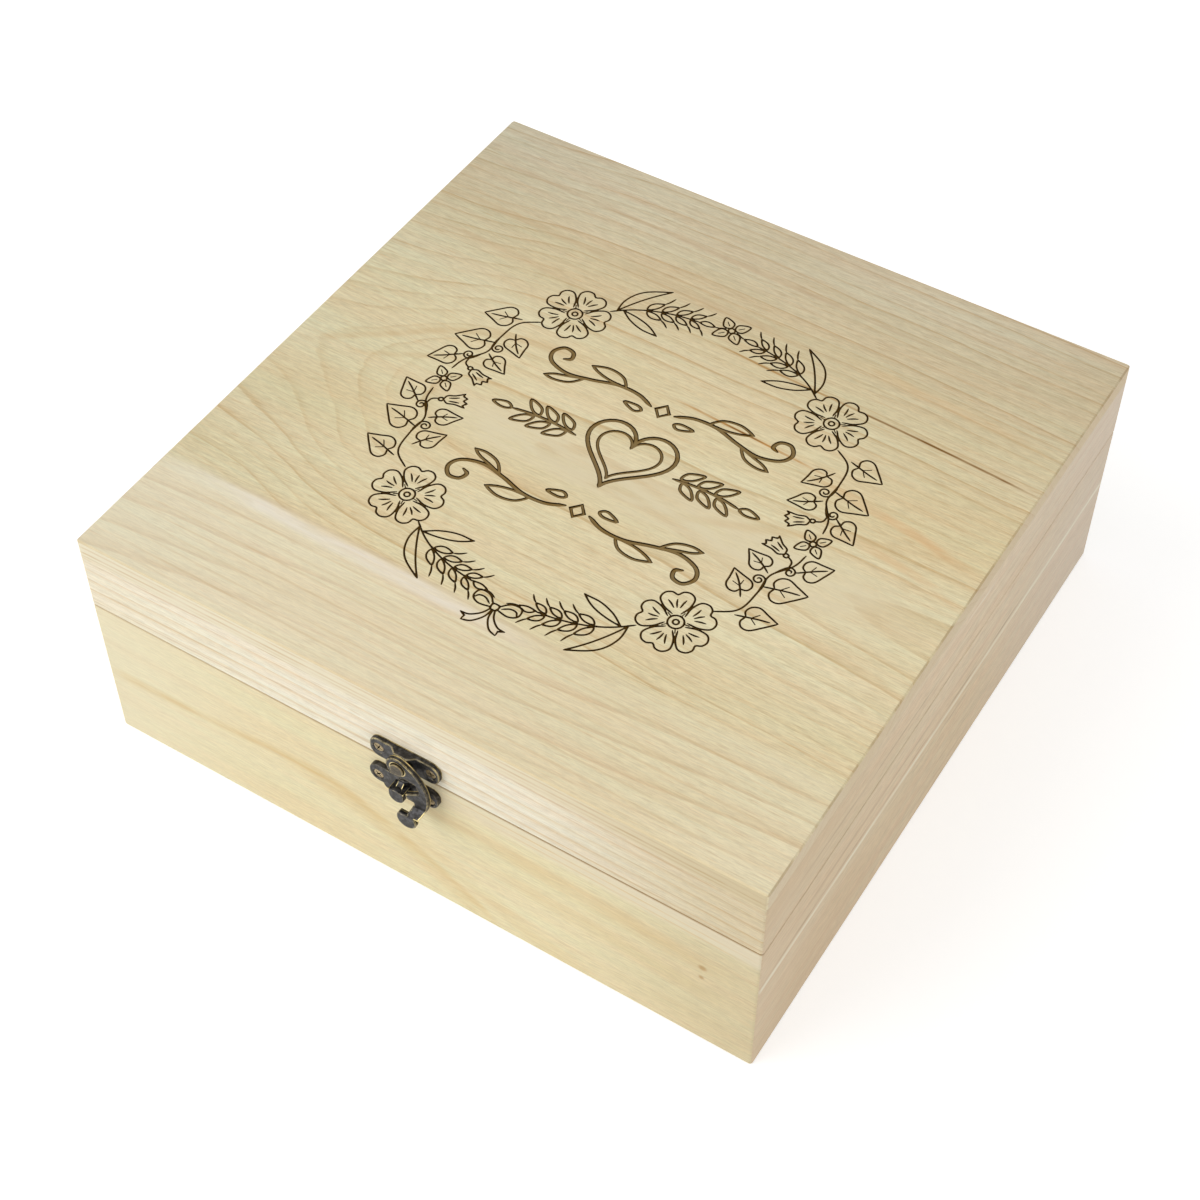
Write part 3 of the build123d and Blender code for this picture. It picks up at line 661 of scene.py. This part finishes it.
def carve(outline, strokes, fine_depth, broad_depth, broad_from, grid=()):
    """Cuts grooves into a flat face. Gives its points, its triangles and where the outline's points
    went, and for each point whether it is cut, and whether it lies in a broad groove's bed."""
    points, edges, samples = [tuple(p) for p in outline], [], []

    def chain(line, closed):
        first = len(points)
        points.extend(tuple(p) for p in line)
        edges.extend((first + i, first + i + 1) for i in range(len(line) - 1))
        if closed:
            edges.append((first + len(line) - 1, first))

    for one in strokes:
        line, closed = one["line"], one["closed"]
        half = np.full(len(line), one["half"])
        if not closed:
            run = np.concatenate([[0], np.cumsum(np.linalg.norm(np.diff(line, axis=0), axis=1))])
            half = half * np.clip(TAPER + np.minimum(run, run[-1] - run) / (TAPER_RUN * one["half"]), 0, 1)
        broad = one["half"] > broad_from
        for share in ((WALL_FOOT - BED_LINE, WALL_FOOT, 1.0) if broad else (1.0,)):
            for side in offset_line(line, closed, half, share):
                chain(side, True)
        chain(line, closed)
        if closed:
            line, half = np.vstack([line, line[:1]]), np.append(half, half[0])
        for a, b, wa, wb in zip(line[:-1], line[1:], half[:-1], half[1:]):
            count = max(1, int(np.linalg.norm(b - a) / (SAMPLE_STEP * one["half"])))
            for t in np.arange(count) / count:
                samples.append((*(a + (b - a) * t), wa + (wb - wa) * t, broad))
        samples.append((*line[-1], half[-1], broad))
    points.extend(grid)
    made = delaunay_2d_cdt([Vector(p) for p in points], edges, [list(range(len(outline)))], 1, 1e-5)
    flat, faces, origin = made[0], made[2], made[3]
    nearby = KDTree(len(samples))
    for index, (x, y, _, _) in enumerate(samples):
        nearby.insert((x, y, 0), index)
    nearby.balance()
    reach = max(one["half"] for one in strokes)
    heights, burn, bed = (np.zeros(len(flat)) for _ in range(3))
    for index, p in enumerate(flat):
        for _, found, far in nearby.find_range((p.x, p.y, 0), reach):
            half, broad = samples[found][2:]
            share = far / half
            if share > TOUCH:
                continue
            if broad:
                down = broad_depth * min(1.0, (1 - share) / (1 - WALL_FOOT))
            else:
                down = fine_depth * (1 - share)
            heights[index] = min(heights[index], -down)
            burn[index] = 1.0
            bed[index] = max(bed[index], float(broad and share < WALL_FOOT - BED_RIM))
    where = {source: index for index, sources in enumerate(origin) for source in sources}
    spots = [(p.x, p.y, heights[i]) for i, p in enumerate(flat)]
    return spots, [tuple(f) for f in faces], [where[i] for i in range(len(outline))], burn, bed


def close_below(spots, faces, rim, rings):
    """Adds rings of points below a face's rim, and a floor, so that the body is closed."""
    spots, faces, last = list(spots), list(faces), list(rim)
    for ring in rings:
        now = [len(spots) + i for i in range(len(ring))]
        spots.extend(ring)
        for i in range(len(now)):
            j = (i + 1) % len(now)
            faces.append((last[i], now[i], now[j], last[j]))
        last = now
    faces.append(tuple(reversed(last)))
    return spots, faces


def put(name, data):
    """A new object in the scene."""
    made = bpy.data.objects.new(name, data)
    bpy.context.scene.collection.objects.link(made)
    return made


SHARP = math.radians(30)     # faces that meet at more than this keep a sharp edge between them


def make_piece(name, spots, faces, material, scale=1 / MM):
    """A piece from its points, which are in millimetres unless scale says otherwise, and its faces."""
    mesh = bpy.data.meshes.new(name)
    mesh.from_pydata([tuple(c * scale for c in p) for p in spots], [], faces)
    mesh.validate()
    mesh.polygons.foreach_set("use_smooth", [True] * len(mesh.polygons))
    mesh.set_sharp_from_angle(angle=SHARP)
    mesh.materials.append(material)
    return put(name, mesh)


def note(piece, name, values):
    """Writes a value on each point of a piece, for its material to read."""
    attribute = piece.data.attributes.new(name, "FLOAT", "POINT")
    attribute.data.foreach_set("value", values)


def rounded_square(half, radius, along=46):
    """A square with round corners, anticlockwise, always with the same number of points."""
    out = []
    for turn in range(4):
        c, s = math.cos(turn * math.pi / 2), math.sin(turn * math.pi / 2)
        side = [(half, -half + radius + (2 * half - 2 * radius) * k / along) for k in range(along)]
        for a in (0, math.pi / 8, math.pi / 4, math.pi * 3 / 8):
            side.append((half - radius + radius * math.cos(a), half - radius + radius * math.sin(a)))
        out += [(c * x - s * y, s * x + c * y) for x, y in side]
    return np.array(out)


chance = np.random.default_rng(7)
rim_line = rounded_square(HALF_PANEL - ARRIS, CORNER - ARRIS)
ends = np.abs(rim_line[:, 0]) > HALF_PANEL - ARRIS - 0.01
side_chips, edge_chips = (chance.uniform(0.0, depth, len(rim_line)) for depth in (SIDE_CHIP, EDGE_CHIP))
rim_line = rim_line * (1 - np.where(ends, side_chips, edge_chips)[:, None] / HALF_PANEL)
grid_lines = np.arange(-GRID_HALF, GRID_HALF + 1, GRID_STEP)
grid = [(x, y) for x in grid_lines for y in grid_lines]
flat_spots, faces, rim, burn, bed = carve(rim_line, engraving, LINE_DEPTH, BROAD_DEPTH, BROAD_FROM, grid)
wall_line = rounded_square(HALF_PANEL, CORNER)
spots, faces = close_below([(x, y, PANEL_TOP + z) for x, y, z in flat_spots], faces, rim,
                           [[(x, y, z) for x, y in wall_line] for z in (PANEL_TOP - ARRIS, PANEL_FOOT)])


def top_arch(tree, along, across):
    """The board is cut flat: its rings nest round the heart of the tree, which rises towards the left.
    Only in the strip along its front they run straight and close together."""
    heart_line = curve_through(tree, along, [(-END, -12), (0, -15), (END, -21)])
    depth = curve_through(tree, along, [(-END, 63), (-118, 60), (-100, 54.5), (-80, 46.5), (-60, 42),
                                        (-30, 40), (30, 39), (70, 36.5), (105, 35), (END, 34)])
    aside = calc(tree, "SUBTRACT", across, heart_line)
    radius = calc(tree, "SQRT", calc(tree, "ADD", product(tree, aside, aside), product(tree, depth, depth)))
    nested = calc(tree, "SUBTRACT", radius, across)
    level = calc(tree, "MULTIPLY_ADD", across, -1.5, calc(tree, "MULTIPLY_ADD", along, 0.03, -45.0))
    strip = rise(tree, across, -87, -92)
    return calc(tree, "MULTIPLY_ADD", calc(tree, "SUBTRACT", level, nested), strip, nested)


TOP_STREAKS = [
    *(([(-END, -97.5 - 5.2 * k), (0, -98.4 - 5.2 * k), (END, -99.6 - 5.1 * k)], 0.7,
       (212, 184, 136), (0.42, 0.22, 0.34)[k % 3], 40, 0.5) for k in range(8)),
    ([(-85, -13), (0, -15), (END, -21)], 18.0, (232, 219, 185), 0.8, 40, 0.5),
    ([(-END, -90), (-60, -91), (30, -94)], 5.0, (246, 238, 226), 0.6, 45, 0.5),
    ([(-END, -86.5), (-60, -87.5), (20, -90), (60, -91)], 1.5, (206, 182, 142), 0.4, 30, 0.5),
    ([(-END, 112), (-40, 110), (END, 104)], 1.6, (198, 172, 138), 0.45, 30, 0.5),
    ([(-END, 87.5), (-35, 84.6), (40, 82)], 3.0, (204, 176, 136), 0.5, 30, 0.5),
    ([(-END, 70), (-70, 66), (-20, 63)], 2.4, (204, 176, 136), 0.35, 30, 0.5),
    ([(-133, -14), (-106, 5), (-87, 19), (-67, 27.5), (-30, 33)], 3.4, (210, 180, 132), 0.5, 16, 0.5),
    ([(-120, -14), (-100, -4), (-76, 7), (-50, 12)], 2.6, (214, 186, 138), 0.4, 16, 0.5),
    ([(28, -19), (60, -8), (103, 9), (END, 16)], 3.2, (214, 184, 136), 0.4, 20, 0.5),
    ([(60, 24), (100, 20), (END, 11)], 3.4, (226, 178, 124), 0.5, 20, 0.5),
    ([(80, 5), (110, 3), (END, -5)], 3.0, (228, 184, 132), 0.45, 20, 0.5),
    ([(30, 86), (90, 82), (END, 78)], 3.6, (222, 186, 136), 0.4, 30, 0.5),
    ([(70, -40), (END, -46)], 2.6, (224, 186, 138), 0.4, 20, 0.5),
    ([(-4, 66.2), (31, 63.6), (65, 62.2), (100, 60.2), (END, 57.3)], 0.8, (180, 134, 72), 0.85, 14, 0.5),
    ([(56, 62.6), (80, 61.4), (100, 60.2), (END, 57.3)], 0.7, (116, 80, 36), 0.9, 14, 0.5),
    ([(2, 32.2), (30, 30.4), (69, 27.3)], 0.8, (190, 134, 62), 0.95, 12, 0.5),
    ([(24, 30.8), (32, 30.3), (42, 29.6)], 0.6, (120, 84, 40), 0.8, 4, 0.5),
]


def top_marks(tree, along, across, deep, colour):
    """The top's tones and streaks, its sawn edges and ends, and the burnt grooves, with painted shade
    on the front chamfer and on one wall of each groove.
    """
    colour = mixed(tree, rise(tree, along, -50, -END), colour, paint(247, 250, 253), "MULTIPLY")
    front = product(tree, rise(tree, across, -86, -92), rise(tree, along, 90, -60, 0.45, 1.0), 0.32)
    colour = mixed(tree, front, colour, paint(248, 239, 218))
    upright = rise(tree, deep, PANEL_TOP - ARRIS, PANEL_TOP - ARRIS - 0.15)
    rear = product(tree, rise(tree, across, 10, 137), calc(tree, "SUBTRACT", 1.0, upright))
    colour = mixed(tree, rear, colour, paint(235, 235, 243), "MULTIPLY")
    colour = streaks(tree, along, across, colour, TOP_STREAKS)
    # The sawn front edge is cream with three rings, and the end grain at both sides is greyer.
    foremost = product(tree, upright, rise(tree, across, 0.3 - HALF_PANEL, 0.1 - HALF_PANEL))
    rings = [([(-END, height - 1.0), (-60, height), (30, height + 0.1), (END, height - 0.8)], 0.7,
              (208, 174, 120), strength, 3, 0.8)
             for height, strength in ((103.0, 0.4), (100.2, 0.55), (98.4, 0.3))]
    ringed = streaks(tree, along, deep, mixed(tree, 0.65, colour, paint(248, 238, 212)), rings)
    ringed = mixed(tree, rise(tree, along, 20, END), ringed, paint(232, 225, 211), "MULTIPLY")
    colour = mixed(tree, foremost, colour, ringed)
    sideways = calc(tree, "ABSOLUTE", along)
    to_side = product(tree, upright, rise(tree, sideways, HALF_PANEL - 0.3, HALF_PANEL - 0.1), 0.6)
    colour = mixed(tree, to_side, colour, paint(220, 200, 174))
    # The upper edge is rubbed brown in places at the sides. Along the front it is tinted golden, a tint
    # that is also painted shade, toning down the highlight that the key lamp lays on the front chamfer.
    rim_place = add(tree, "ShaderNodeCombineXYZ", {0: along, 1: across}).outputs[0]
    side_edge = product(tree, rise(tree, sideways, HALF_PANEL - 0.75, HALF_PANEL - 0.45),
                        rise(tree, deep, PANEL_TOP - 1.1, PANEL_TOP - 0.5))
    rubbed = rise(tree, speckle(tree, rim_place, (0.09, 0.09, 0.09), detail=3.0), 0.40, 0.60, 0.12, 0.48)
    colour = mixed(tree, product(tree, side_edge, rubbed), colour, paint(164, 132, 92))
    front_tint_and_shade = product(tree, rise(tree, across, 0.65 - HALF_PANEL, 0.4 - HALF_PANEL),
                         rise(tree, deep, PANEL_TOP - 0.9, PANEL_TOP - 0.5), 0.45)
    colour = mixed(tree, front_tint_and_shade, colour, paint(226, 204, 158))
    # The grooves' walls are charred, and those that face the front are painted darker than those that
    # face the rear: a painted shade, as if the light came from the rear.
    burnt, bottom = (add(tree, "ShaderNodeAttribute", attribute_name=name).outputs["Fac"]
                     for name in ("burn", "bed"))
    normal = add(tree, "ShaderNodeTexCoord").outputs["Normal"]
    facing = add(tree, "ShaderNodeSeparateXYZ", {0: normal}).outputs
    painted_wall_shade = rise(tree, calc(tree, "ADD", facing["Y"], product(tree, facing["X"], 0.5)), 0.25, -0.35)
    wall = mixed(tree, painted_wall_shade, paint(86, 60, 12), paint(30, 18, 0))
    brown = mixed(tree, rise(tree, bottom, 0.1, 0.9), wall, mixed(tree, 0.85, colour, paint(112, 82, 16)))
    return mixed(tree, rise(tree, burnt, 0.05, 0.34), colour, brown)


# Charred wood is matt, so the board shines less than the others.
top_pine = pine("pine top", "XYZ", (237, 226, 193), (210, 182, 137), (231, 217, 179), top_marks, top_arch,
                ring_width=5.4, slope=0.8, wander=9.0, ring_depth=0.9, fibre_depth=0.24, fuzz=0.12, glow=0.8,
                seed=14.0, shine=0.06)
top = make_piece("engraved_top", spots, faces, top_pine)
for name, values in (("burn", burn), ("bed", bed)):
    note(top, name, np.concatenate([values, np.zeros(len(spots) - len(values))]))
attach(top, "lid")
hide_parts("lid_top_panel")


# ---------------------------------------------------------------------------- catch
# A swing-hook catch, die-cast and plated in dark antique bronze, then rubbed so that the brass
# shows along its edges, most on those that face up, which is partly a painted highlight. Its hollows
# and the places between its parts are darkened as painted shade. The hook turns on a rivet in the
# upper plate, and its tooth catches on the stud of the lower one.
DARK_PLATE, PALE_PLATE, BARE_METAL = (47, 45, 43), (84, 83, 84), (230, 210, 150)
HOLLOW_REACH = 0.0016    # metres: painted shade darkens the plating where something else is this near
GRIT_HEIGHT = 0.00006    # metres: how high the grains of the cast skin stand

plating_wear_and_shade, given, result = open_group(
    "plating wear and painted shade", {"Place": None, "Edge": 1.0, "Hollow": 1.0}, ["Rubbed", "Painted Shade", "Mottle", "Grit"])
fine = calc(plating_wear_and_shade, "SUBTRACT", speckle(plating_wear_and_shade, given["Place"], (1.1, 1.1, 1.1), detail=3.0, shift=2.0), 0.5)
edge = rise(plating_wear_and_shade, calc(plating_wear_and_shade, "ADD", given["Edge"], product(plating_wear_and_shade, fine, 0.28)), 0.90, 0.66)
touched = rise(plating_wear_and_shade, speckle(plating_wear_and_shade, given["Place"], (0.16, 0.16, 0.16), shift=11.0), 0.38, 0.56, 0.4, 1.0)
feed(plating_wear_and_shade, result["Rubbed"], product(plating_wear_and_shade, edge, touched))
# Painted Shade is 1 where another surface is near: painted shade in hollows and between parts.
feed(plating_wear_and_shade, result["Painted Shade"], rise(plating_wear_and_shade, given["Hollow"], 0.85, 0.35))
feed(plating_wear_and_shade, result["Mottle"], speckle(plating_wear_and_shade, given["Place"], (0.55, 0.55, 0.55), 4.0, 6.0, 0.7))
feed(plating_wear_and_shade, result["Grit"], speckle(plating_wear_and_shade, given["Place"], (3.2, 3.2, 3.2), shift=1.0))


def plated(name, dark, light, rubbed, edge_reach=0.0007, wear_and_highlight=1.0, roughness=0.38, grit=0.5):
    """Dark plating with a lighter mottle, and bare metal where it is rubbed, most on edges that face
    up, which is partly a painted highlight. Its hollows and places near other parts are darkened as
    painted shade.
    """
    material, tree = open_material(name)
    edge = add(tree, "ShaderNodeAmbientOcclusion", {"Distance": edge_reach},
               inside=True, only_local=True, samples=16)
    hollow = add(tree, "ShaderNodeAmbientOcclusion", {"Distance": HOLLOW_REACH}, samples=16)
    skin = add(tree, "ShaderNodeGroup", {"Place": in_millimetres(tree), "Edge": edge.outputs["AO"],
                                         "Hollow": hollow.outputs["AO"]}, node_tree=plating_wear_and_shade).outputs
    # Rubbed brass is kept mostly to surfaces that face up: partly real wear, partly a painted highlight
    # where the light catches the top edges.
    normal = add(tree, "ShaderNodeNewGeometry").outputs["Normal"]
    upward = add(tree, "ShaderNodeSeparateXYZ", {0: normal}).outputs["Z"]
    up_facing_wear_and_highlight = product(tree, rise(tree, upward, -0.75, 0.1, 0.3, 1.0), wear_and_highlight)
    colour = mixed(tree, rise(tree, skin["Mottle"], 0.38, 0.66), paint(*dark), paint(*light))
    colour = mixed(tree, product(tree, skin["Rubbed"], up_facing_wear_and_highlight), colour, paint(*rubbed))
    # The screws carry a painted shade attribute: darker in their crosses and round their heads.
    painted_shade = add(tree, "ShaderNodeAttribute", attribute_name="painted_shade").outputs["Fac"]
    # Painted shade: hollows and places near other parts are darkened, and so are the screws' crosses and
    # rims.
    painted_shade_share = calc(tree, "MAXIMUM", product(tree, skin["Painted Shade"], 0.7), product(tree, painted_shade, 0.9))
    relief = add(tree, "ShaderNodeBump", {"Strength": grit, "Distance": GRIT_HEIGHT, "Height": skin["Grit"]})
    polished = calc(tree, "SUBTRACT", roughness, product(tree, skin["Rubbed"], 0.14))
    surface = add(tree, "ShaderNodeBsdfPrincipled", {
        "Base Color": mixed(tree, painted_shade_share, colour, paint(22, 18, 15)),
        "Metallic": 0.9,
        "Roughness": calc(tree, "ADD", polished, product(tree, skin["Mottle"], 0.12)),
        "Normal": relief.outputs[0],
    })
    add(tree, "ShaderNodeOutputMaterial", {0: surface.outputs[0]})
    return material


bronze = plated("antique bronze", DARK_PLATE, PALE_PLATE, BARE_METAL)
finish("catch_hook_plate", bronze)
finish("catch_hook", bronze)
finish("catch_stud_plate",
       plated("antique bronze stud", DARK_PLATE, PALE_PLATE, BARE_METAL, edge_reach=0.0004))
finish("catch_rivet", plated("rivet head", (74, 67, 57), (102, 94, 78), (160, 143, 102)))


# ---------------------------------------------------------------------------- screws
# Countersunk cross-head wood screws in tarnished brass: four hold the catch plates and eight the
# hinge leaves. Each was driven by hand, so every cross stands at its own angle.
SCREW_SIDES = 28
CATCH_SCREW = (2.15, 1.2)      # the radius of its head, and of its shank
HINGE_SCREW = (1.85, 1.0)
LEAF_PITCH = 16.0              # from one screw of a hinge leaf to the other
FRONT, BACK = -1, 1            # the side that a screw's head faces
ARM, ARM_HALF, FLAT = 0.66, 0.15, 0.84     # the cross's arms and the head's flat face: shares of its radius
CROSS_DEPTH = 0.55
HEAD_RIM = -0.2                # the height at which the head is widest, below its face
TIP_LENGTH, TIP = 1.6, 0.3     # how long the tip tapers, and the radius it comes down to
screw_brass = plated("screw brass", (148, 129, 97), (184, 166, 130), (222, 204, 160),
                     edge_reach=0.0003, wear_and_highlight=0.7, grit=0.35)


def screw_body(radius, shank, length):
    """One screw with its head's face at the origin and its tip down. Sizes are in millimetres."""
    def level(r, z):
        return [(x, y, z) for x, y in circle(r, SCREW_SIDES)]

    arm = ARM * radius
    cross = [stroke(line, half=ARM_HALF * radius, curved=False)
             for line in ([(-arm, 0), (0, 0), (arm, 0)], [(0, -arm), (0, 0), (0, arm)])]
    face, faces, rim, cut, _ = carve(circle(radius * FLAT, SCREW_SIDES), cross, 0, CROSS_DEPTH, 0.0)
    # Below the face come the head's rounded edge, its cone, the shank and the tip.
    body, faces = close_below(face, faces, rim, [
        level(radius * 0.9, -0.04), level(radius, HEAD_RIM), level(shank, HEAD_RIM - (radius - shank)),
        level(shank, -length + TIP_LENGTH), level(TIP, -length)])
    made = make_piece("pattern", body, faces, screw_brass)
    below = np.ones(len(body) - len(cut))
    below[:SCREW_SIDES] = 0.35
    note(made, "painted_shade", np.concatenate([cut, below]))      # painted shade in the cross, and all round under the head
    return made


driven = bpy.data.node_groups.new("driven screws", "GeometryNodeTree")
for label, kind in (("Places", "Geometry"), ("Screw", "Object"), ("Facing", "Vector"), ("Seed", "Int"),
                    ("Finish", "Material")):
    driven.interface.new_socket(name=label, in_out="INPUT", socket_type="NodeSocket" + kind)
driven.interface.new_socket(name="Screws", in_out="OUTPUT", socket_type="NodeSocketGeometry")
given = add(driven, "NodeGroupInput").outputs
one_screw = add(driven, "GeometryNodeObjectInfo", {"Object": given["Screw"]}).outputs["Geometry"]
placed = add(driven, "GeometryNodeInstanceOnPoints",
             {"Points": given["Places"], "Instance": one_screw, "Rotation": given["Facing"]})
spin = add(driven, "FunctionNodeRandomValue", {3: math.pi / 2, "Seed": given["Seed"]}, data_type="FLOAT")
axis = add(driven, "ShaderNodeCombineXYZ", {2: spin.outputs[1]}).outputs[0]
turned = add(driven, "GeometryNodeRotateInstances", {"Instances": placed.outputs[0], "Rotation": axis})
real = add(driven, "GeometryNodeRealizeInstances", {0: turned.outputs[0]})
dressed = add(driven, "GeometryNodeSetMaterial", {"Geometry": real.outputs[0], "Material": given["Finish"]})
add(driven, "NodeGroupOutput", {0: dressed.outputs[0]})


def drive(node, body, radius, shank, facing, seed, pitch=None):
    """Replaces a node's screws by detailed ones at the same places: one pair, or two pairs of this
    pitch."""
    low, high = (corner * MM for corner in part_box(node))
    outer = low.y if facing < 0 else high.y
    left, right = low.x + radius, high.x - radius
    xs = [left, right]
    if pitch:
        xs = [side * x for side in (-1, 1) for x in (right - pitch, right)]
    pattern = screw_body(radius, shank, high.y - low.y)
    mesh = bpy.data.meshes.new("places")
    mesh.from_pydata([(x / MM, outer / MM, (low.z + high.z) / 2 / MM) for x in xs], [], [])
    holder = put("places", mesh)
    modifier = holder.modifiers.new("screws", "NODES")
    modifier.node_group = driven
    values = {"Screw": pattern, "Facing": (-facing * math.pi / 2, 0, 0), "Seed": seed, "Finish": screw_brass}
    for item in driven.interface.items_tree:
        if item.name in values:
            modifier[item.identifier] = values[item.name]
    bpy.context.view_layer.update()
    solid = bpy.data.meshes.new_from_object(holder.evaluated_get(bpy.context.evaluated_depsgraph_get()))
    screws = put(node + "_driven", solid)
    for spare in (holder, pattern):
        bpy.data.objects.remove(spare)
    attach(screws, body)
    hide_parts(node)


drive("hook_plate_screws", "lid", *CATCH_SCREW, FRONT, seed=4)
drive("stud_plate_screws", "base", *CATCH_SCREW, FRONT, seed=9)
drive("hinge_lid_screws", "lid", *HINGE_SCREW, BACK, seed=2, pitch=LEAF_PITCH)
drive("hinge_base_screws", "base", *HINGE_SCREW, BACK, seed=6, pitch=LEAF_PITCH)


# ---------------------------------------------------------------------------- hinges
# Two small butt hinges screwed flat on the back: stamped leaves with rolled knuckles round a pin,
# plated like the catch but with less wear, because nobody handles them, and so with less of the
# painted highlight on their upper edges.
hinge_bronze = plated("hinge bronze", (74, 66, 58), (104, 94, 82), (190, 164, 108),
                      edge_reach=0.0004, wear_and_highlight=0.7, roughness=0.4, grit=0.3)
for side in ("left", "right"):
    finish(f"hinge_{side}_base_leaf", hinge_bronze)
    finish(f"hinge_{side}_lid_leaf", hinge_bronze)
    finish(f"hinge_{side}_pin", screw_brass)


# ---------------------------------------------------------------------------- studio
# The box stands on a white table in soft daylight. A large lamp at the front left is the key, and a
# smaller one at the right fills the shadows.
WHITE = (1.0, 1.0, 1.0, 1.0)
TABLE_HALF = 4.0         # metres, as all the sizes in this section are
TABLE_DROP = 0.0001      # how far the table lies below the box's underside, so that the two never coincide
TABLE_GLOW = 0.45        # the table glows this much where it is seen, beside the light that falls on it
SKY_LIGHT = 0.62         # the sky's strength on the box. Where it is seen it is plain white, of strength 1
AIM = Vector((-0.34312, 0.54811, -0.76279))
LAMP_AIM = Vector((0, 0, 0.05))
camera = put("camera", bpy.data.cameras.new("camera"))
camera.data.sensor_width = 36.0
camera.data.lens = 67.17
camera.location = (0.2911, -0.4797, 0.6831)
camera.rotation_euler = AIM.to_track_quat("-Z", "Y").to_euler()
bpy.context.scene.camera = camera

for name, azimuth, elevation, distance, size, power in (("key lamp", -48, 34, 2.2, 2.6, 25.0),
                                                        ("fill lamp", 78, 24, 2.4, 1.8, 8.2)):
    lamp = bpy.data.lights.new(name, "AREA")
    lamp.shape = "DISK"
    lamp.size = size
    lamp.energy = power
    a, e = math.radians(azimuth), math.radians(elevation)
    away = Vector((math.sin(a) * math.cos(e), -math.cos(a) * math.cos(e), math.sin(e)))
    holder = put(name, lamp)
    holder.location = away * distance + LAMP_AIM
    holder.rotation_euler = (-away).to_track_quat("-Z", "Y").to_euler()


def seen_rays(tree):
    """1 for what the camera sees, straight, in a mirror or through glass."""
    rays = add(tree, "ShaderNodeLightPath").outputs
    both = calc(tree, "MAXIMUM", rays["Is Camera Ray"], rays["Is Glossy Ray"])
    return calc(tree, "MAXIMUM", both, rays["Is Transmission Ray"])


world = bpy.data.worlds.new("studio")
bpy.context.scene.world = world
world.use_nodes = True
room = world.node_tree
room.nodes.clear()
brightness = calc(room, "MULTIPLY_ADD", seen_rays(room), 1 - SKY_LIGHT, SKY_LIGHT)
sky = add(room, "ShaderNodeBackground", {"Color": WHITE, "Strength": brightness})
add(room, "ShaderNodeOutputWorld", {0: sky.outputs[0]})

table, tree = open_material("white table")
cloth = add(tree, "ShaderNodeBsdfDiffuse", {"Color": (0.8, 0.8, 0.8, 1.0)})
bright = product(tree, seen_rays(tree), TABLE_GLOW)
glow = add(tree, "ShaderNodeEmission", {"Color": WHITE, "Strength": bright})
both = add(tree, "ShaderNodeAddShader", {0: cloth.outputs[0], 1: glow.outputs[0]})
add(tree, "ShaderNodeOutputMaterial", {0: both.outputs[0]})
corners = [(x * TABLE_HALF, y * TABLE_HALF, -TABLE_DROP) for x, y in ((-1, -1), (1, -1), (1, 1), (-1, 1))]
make_piece("floor", corners, [(0, 1, 2, 3)], table, scale=1.0)

bpy.context.scene.view_settings.view_transform = "Standard"
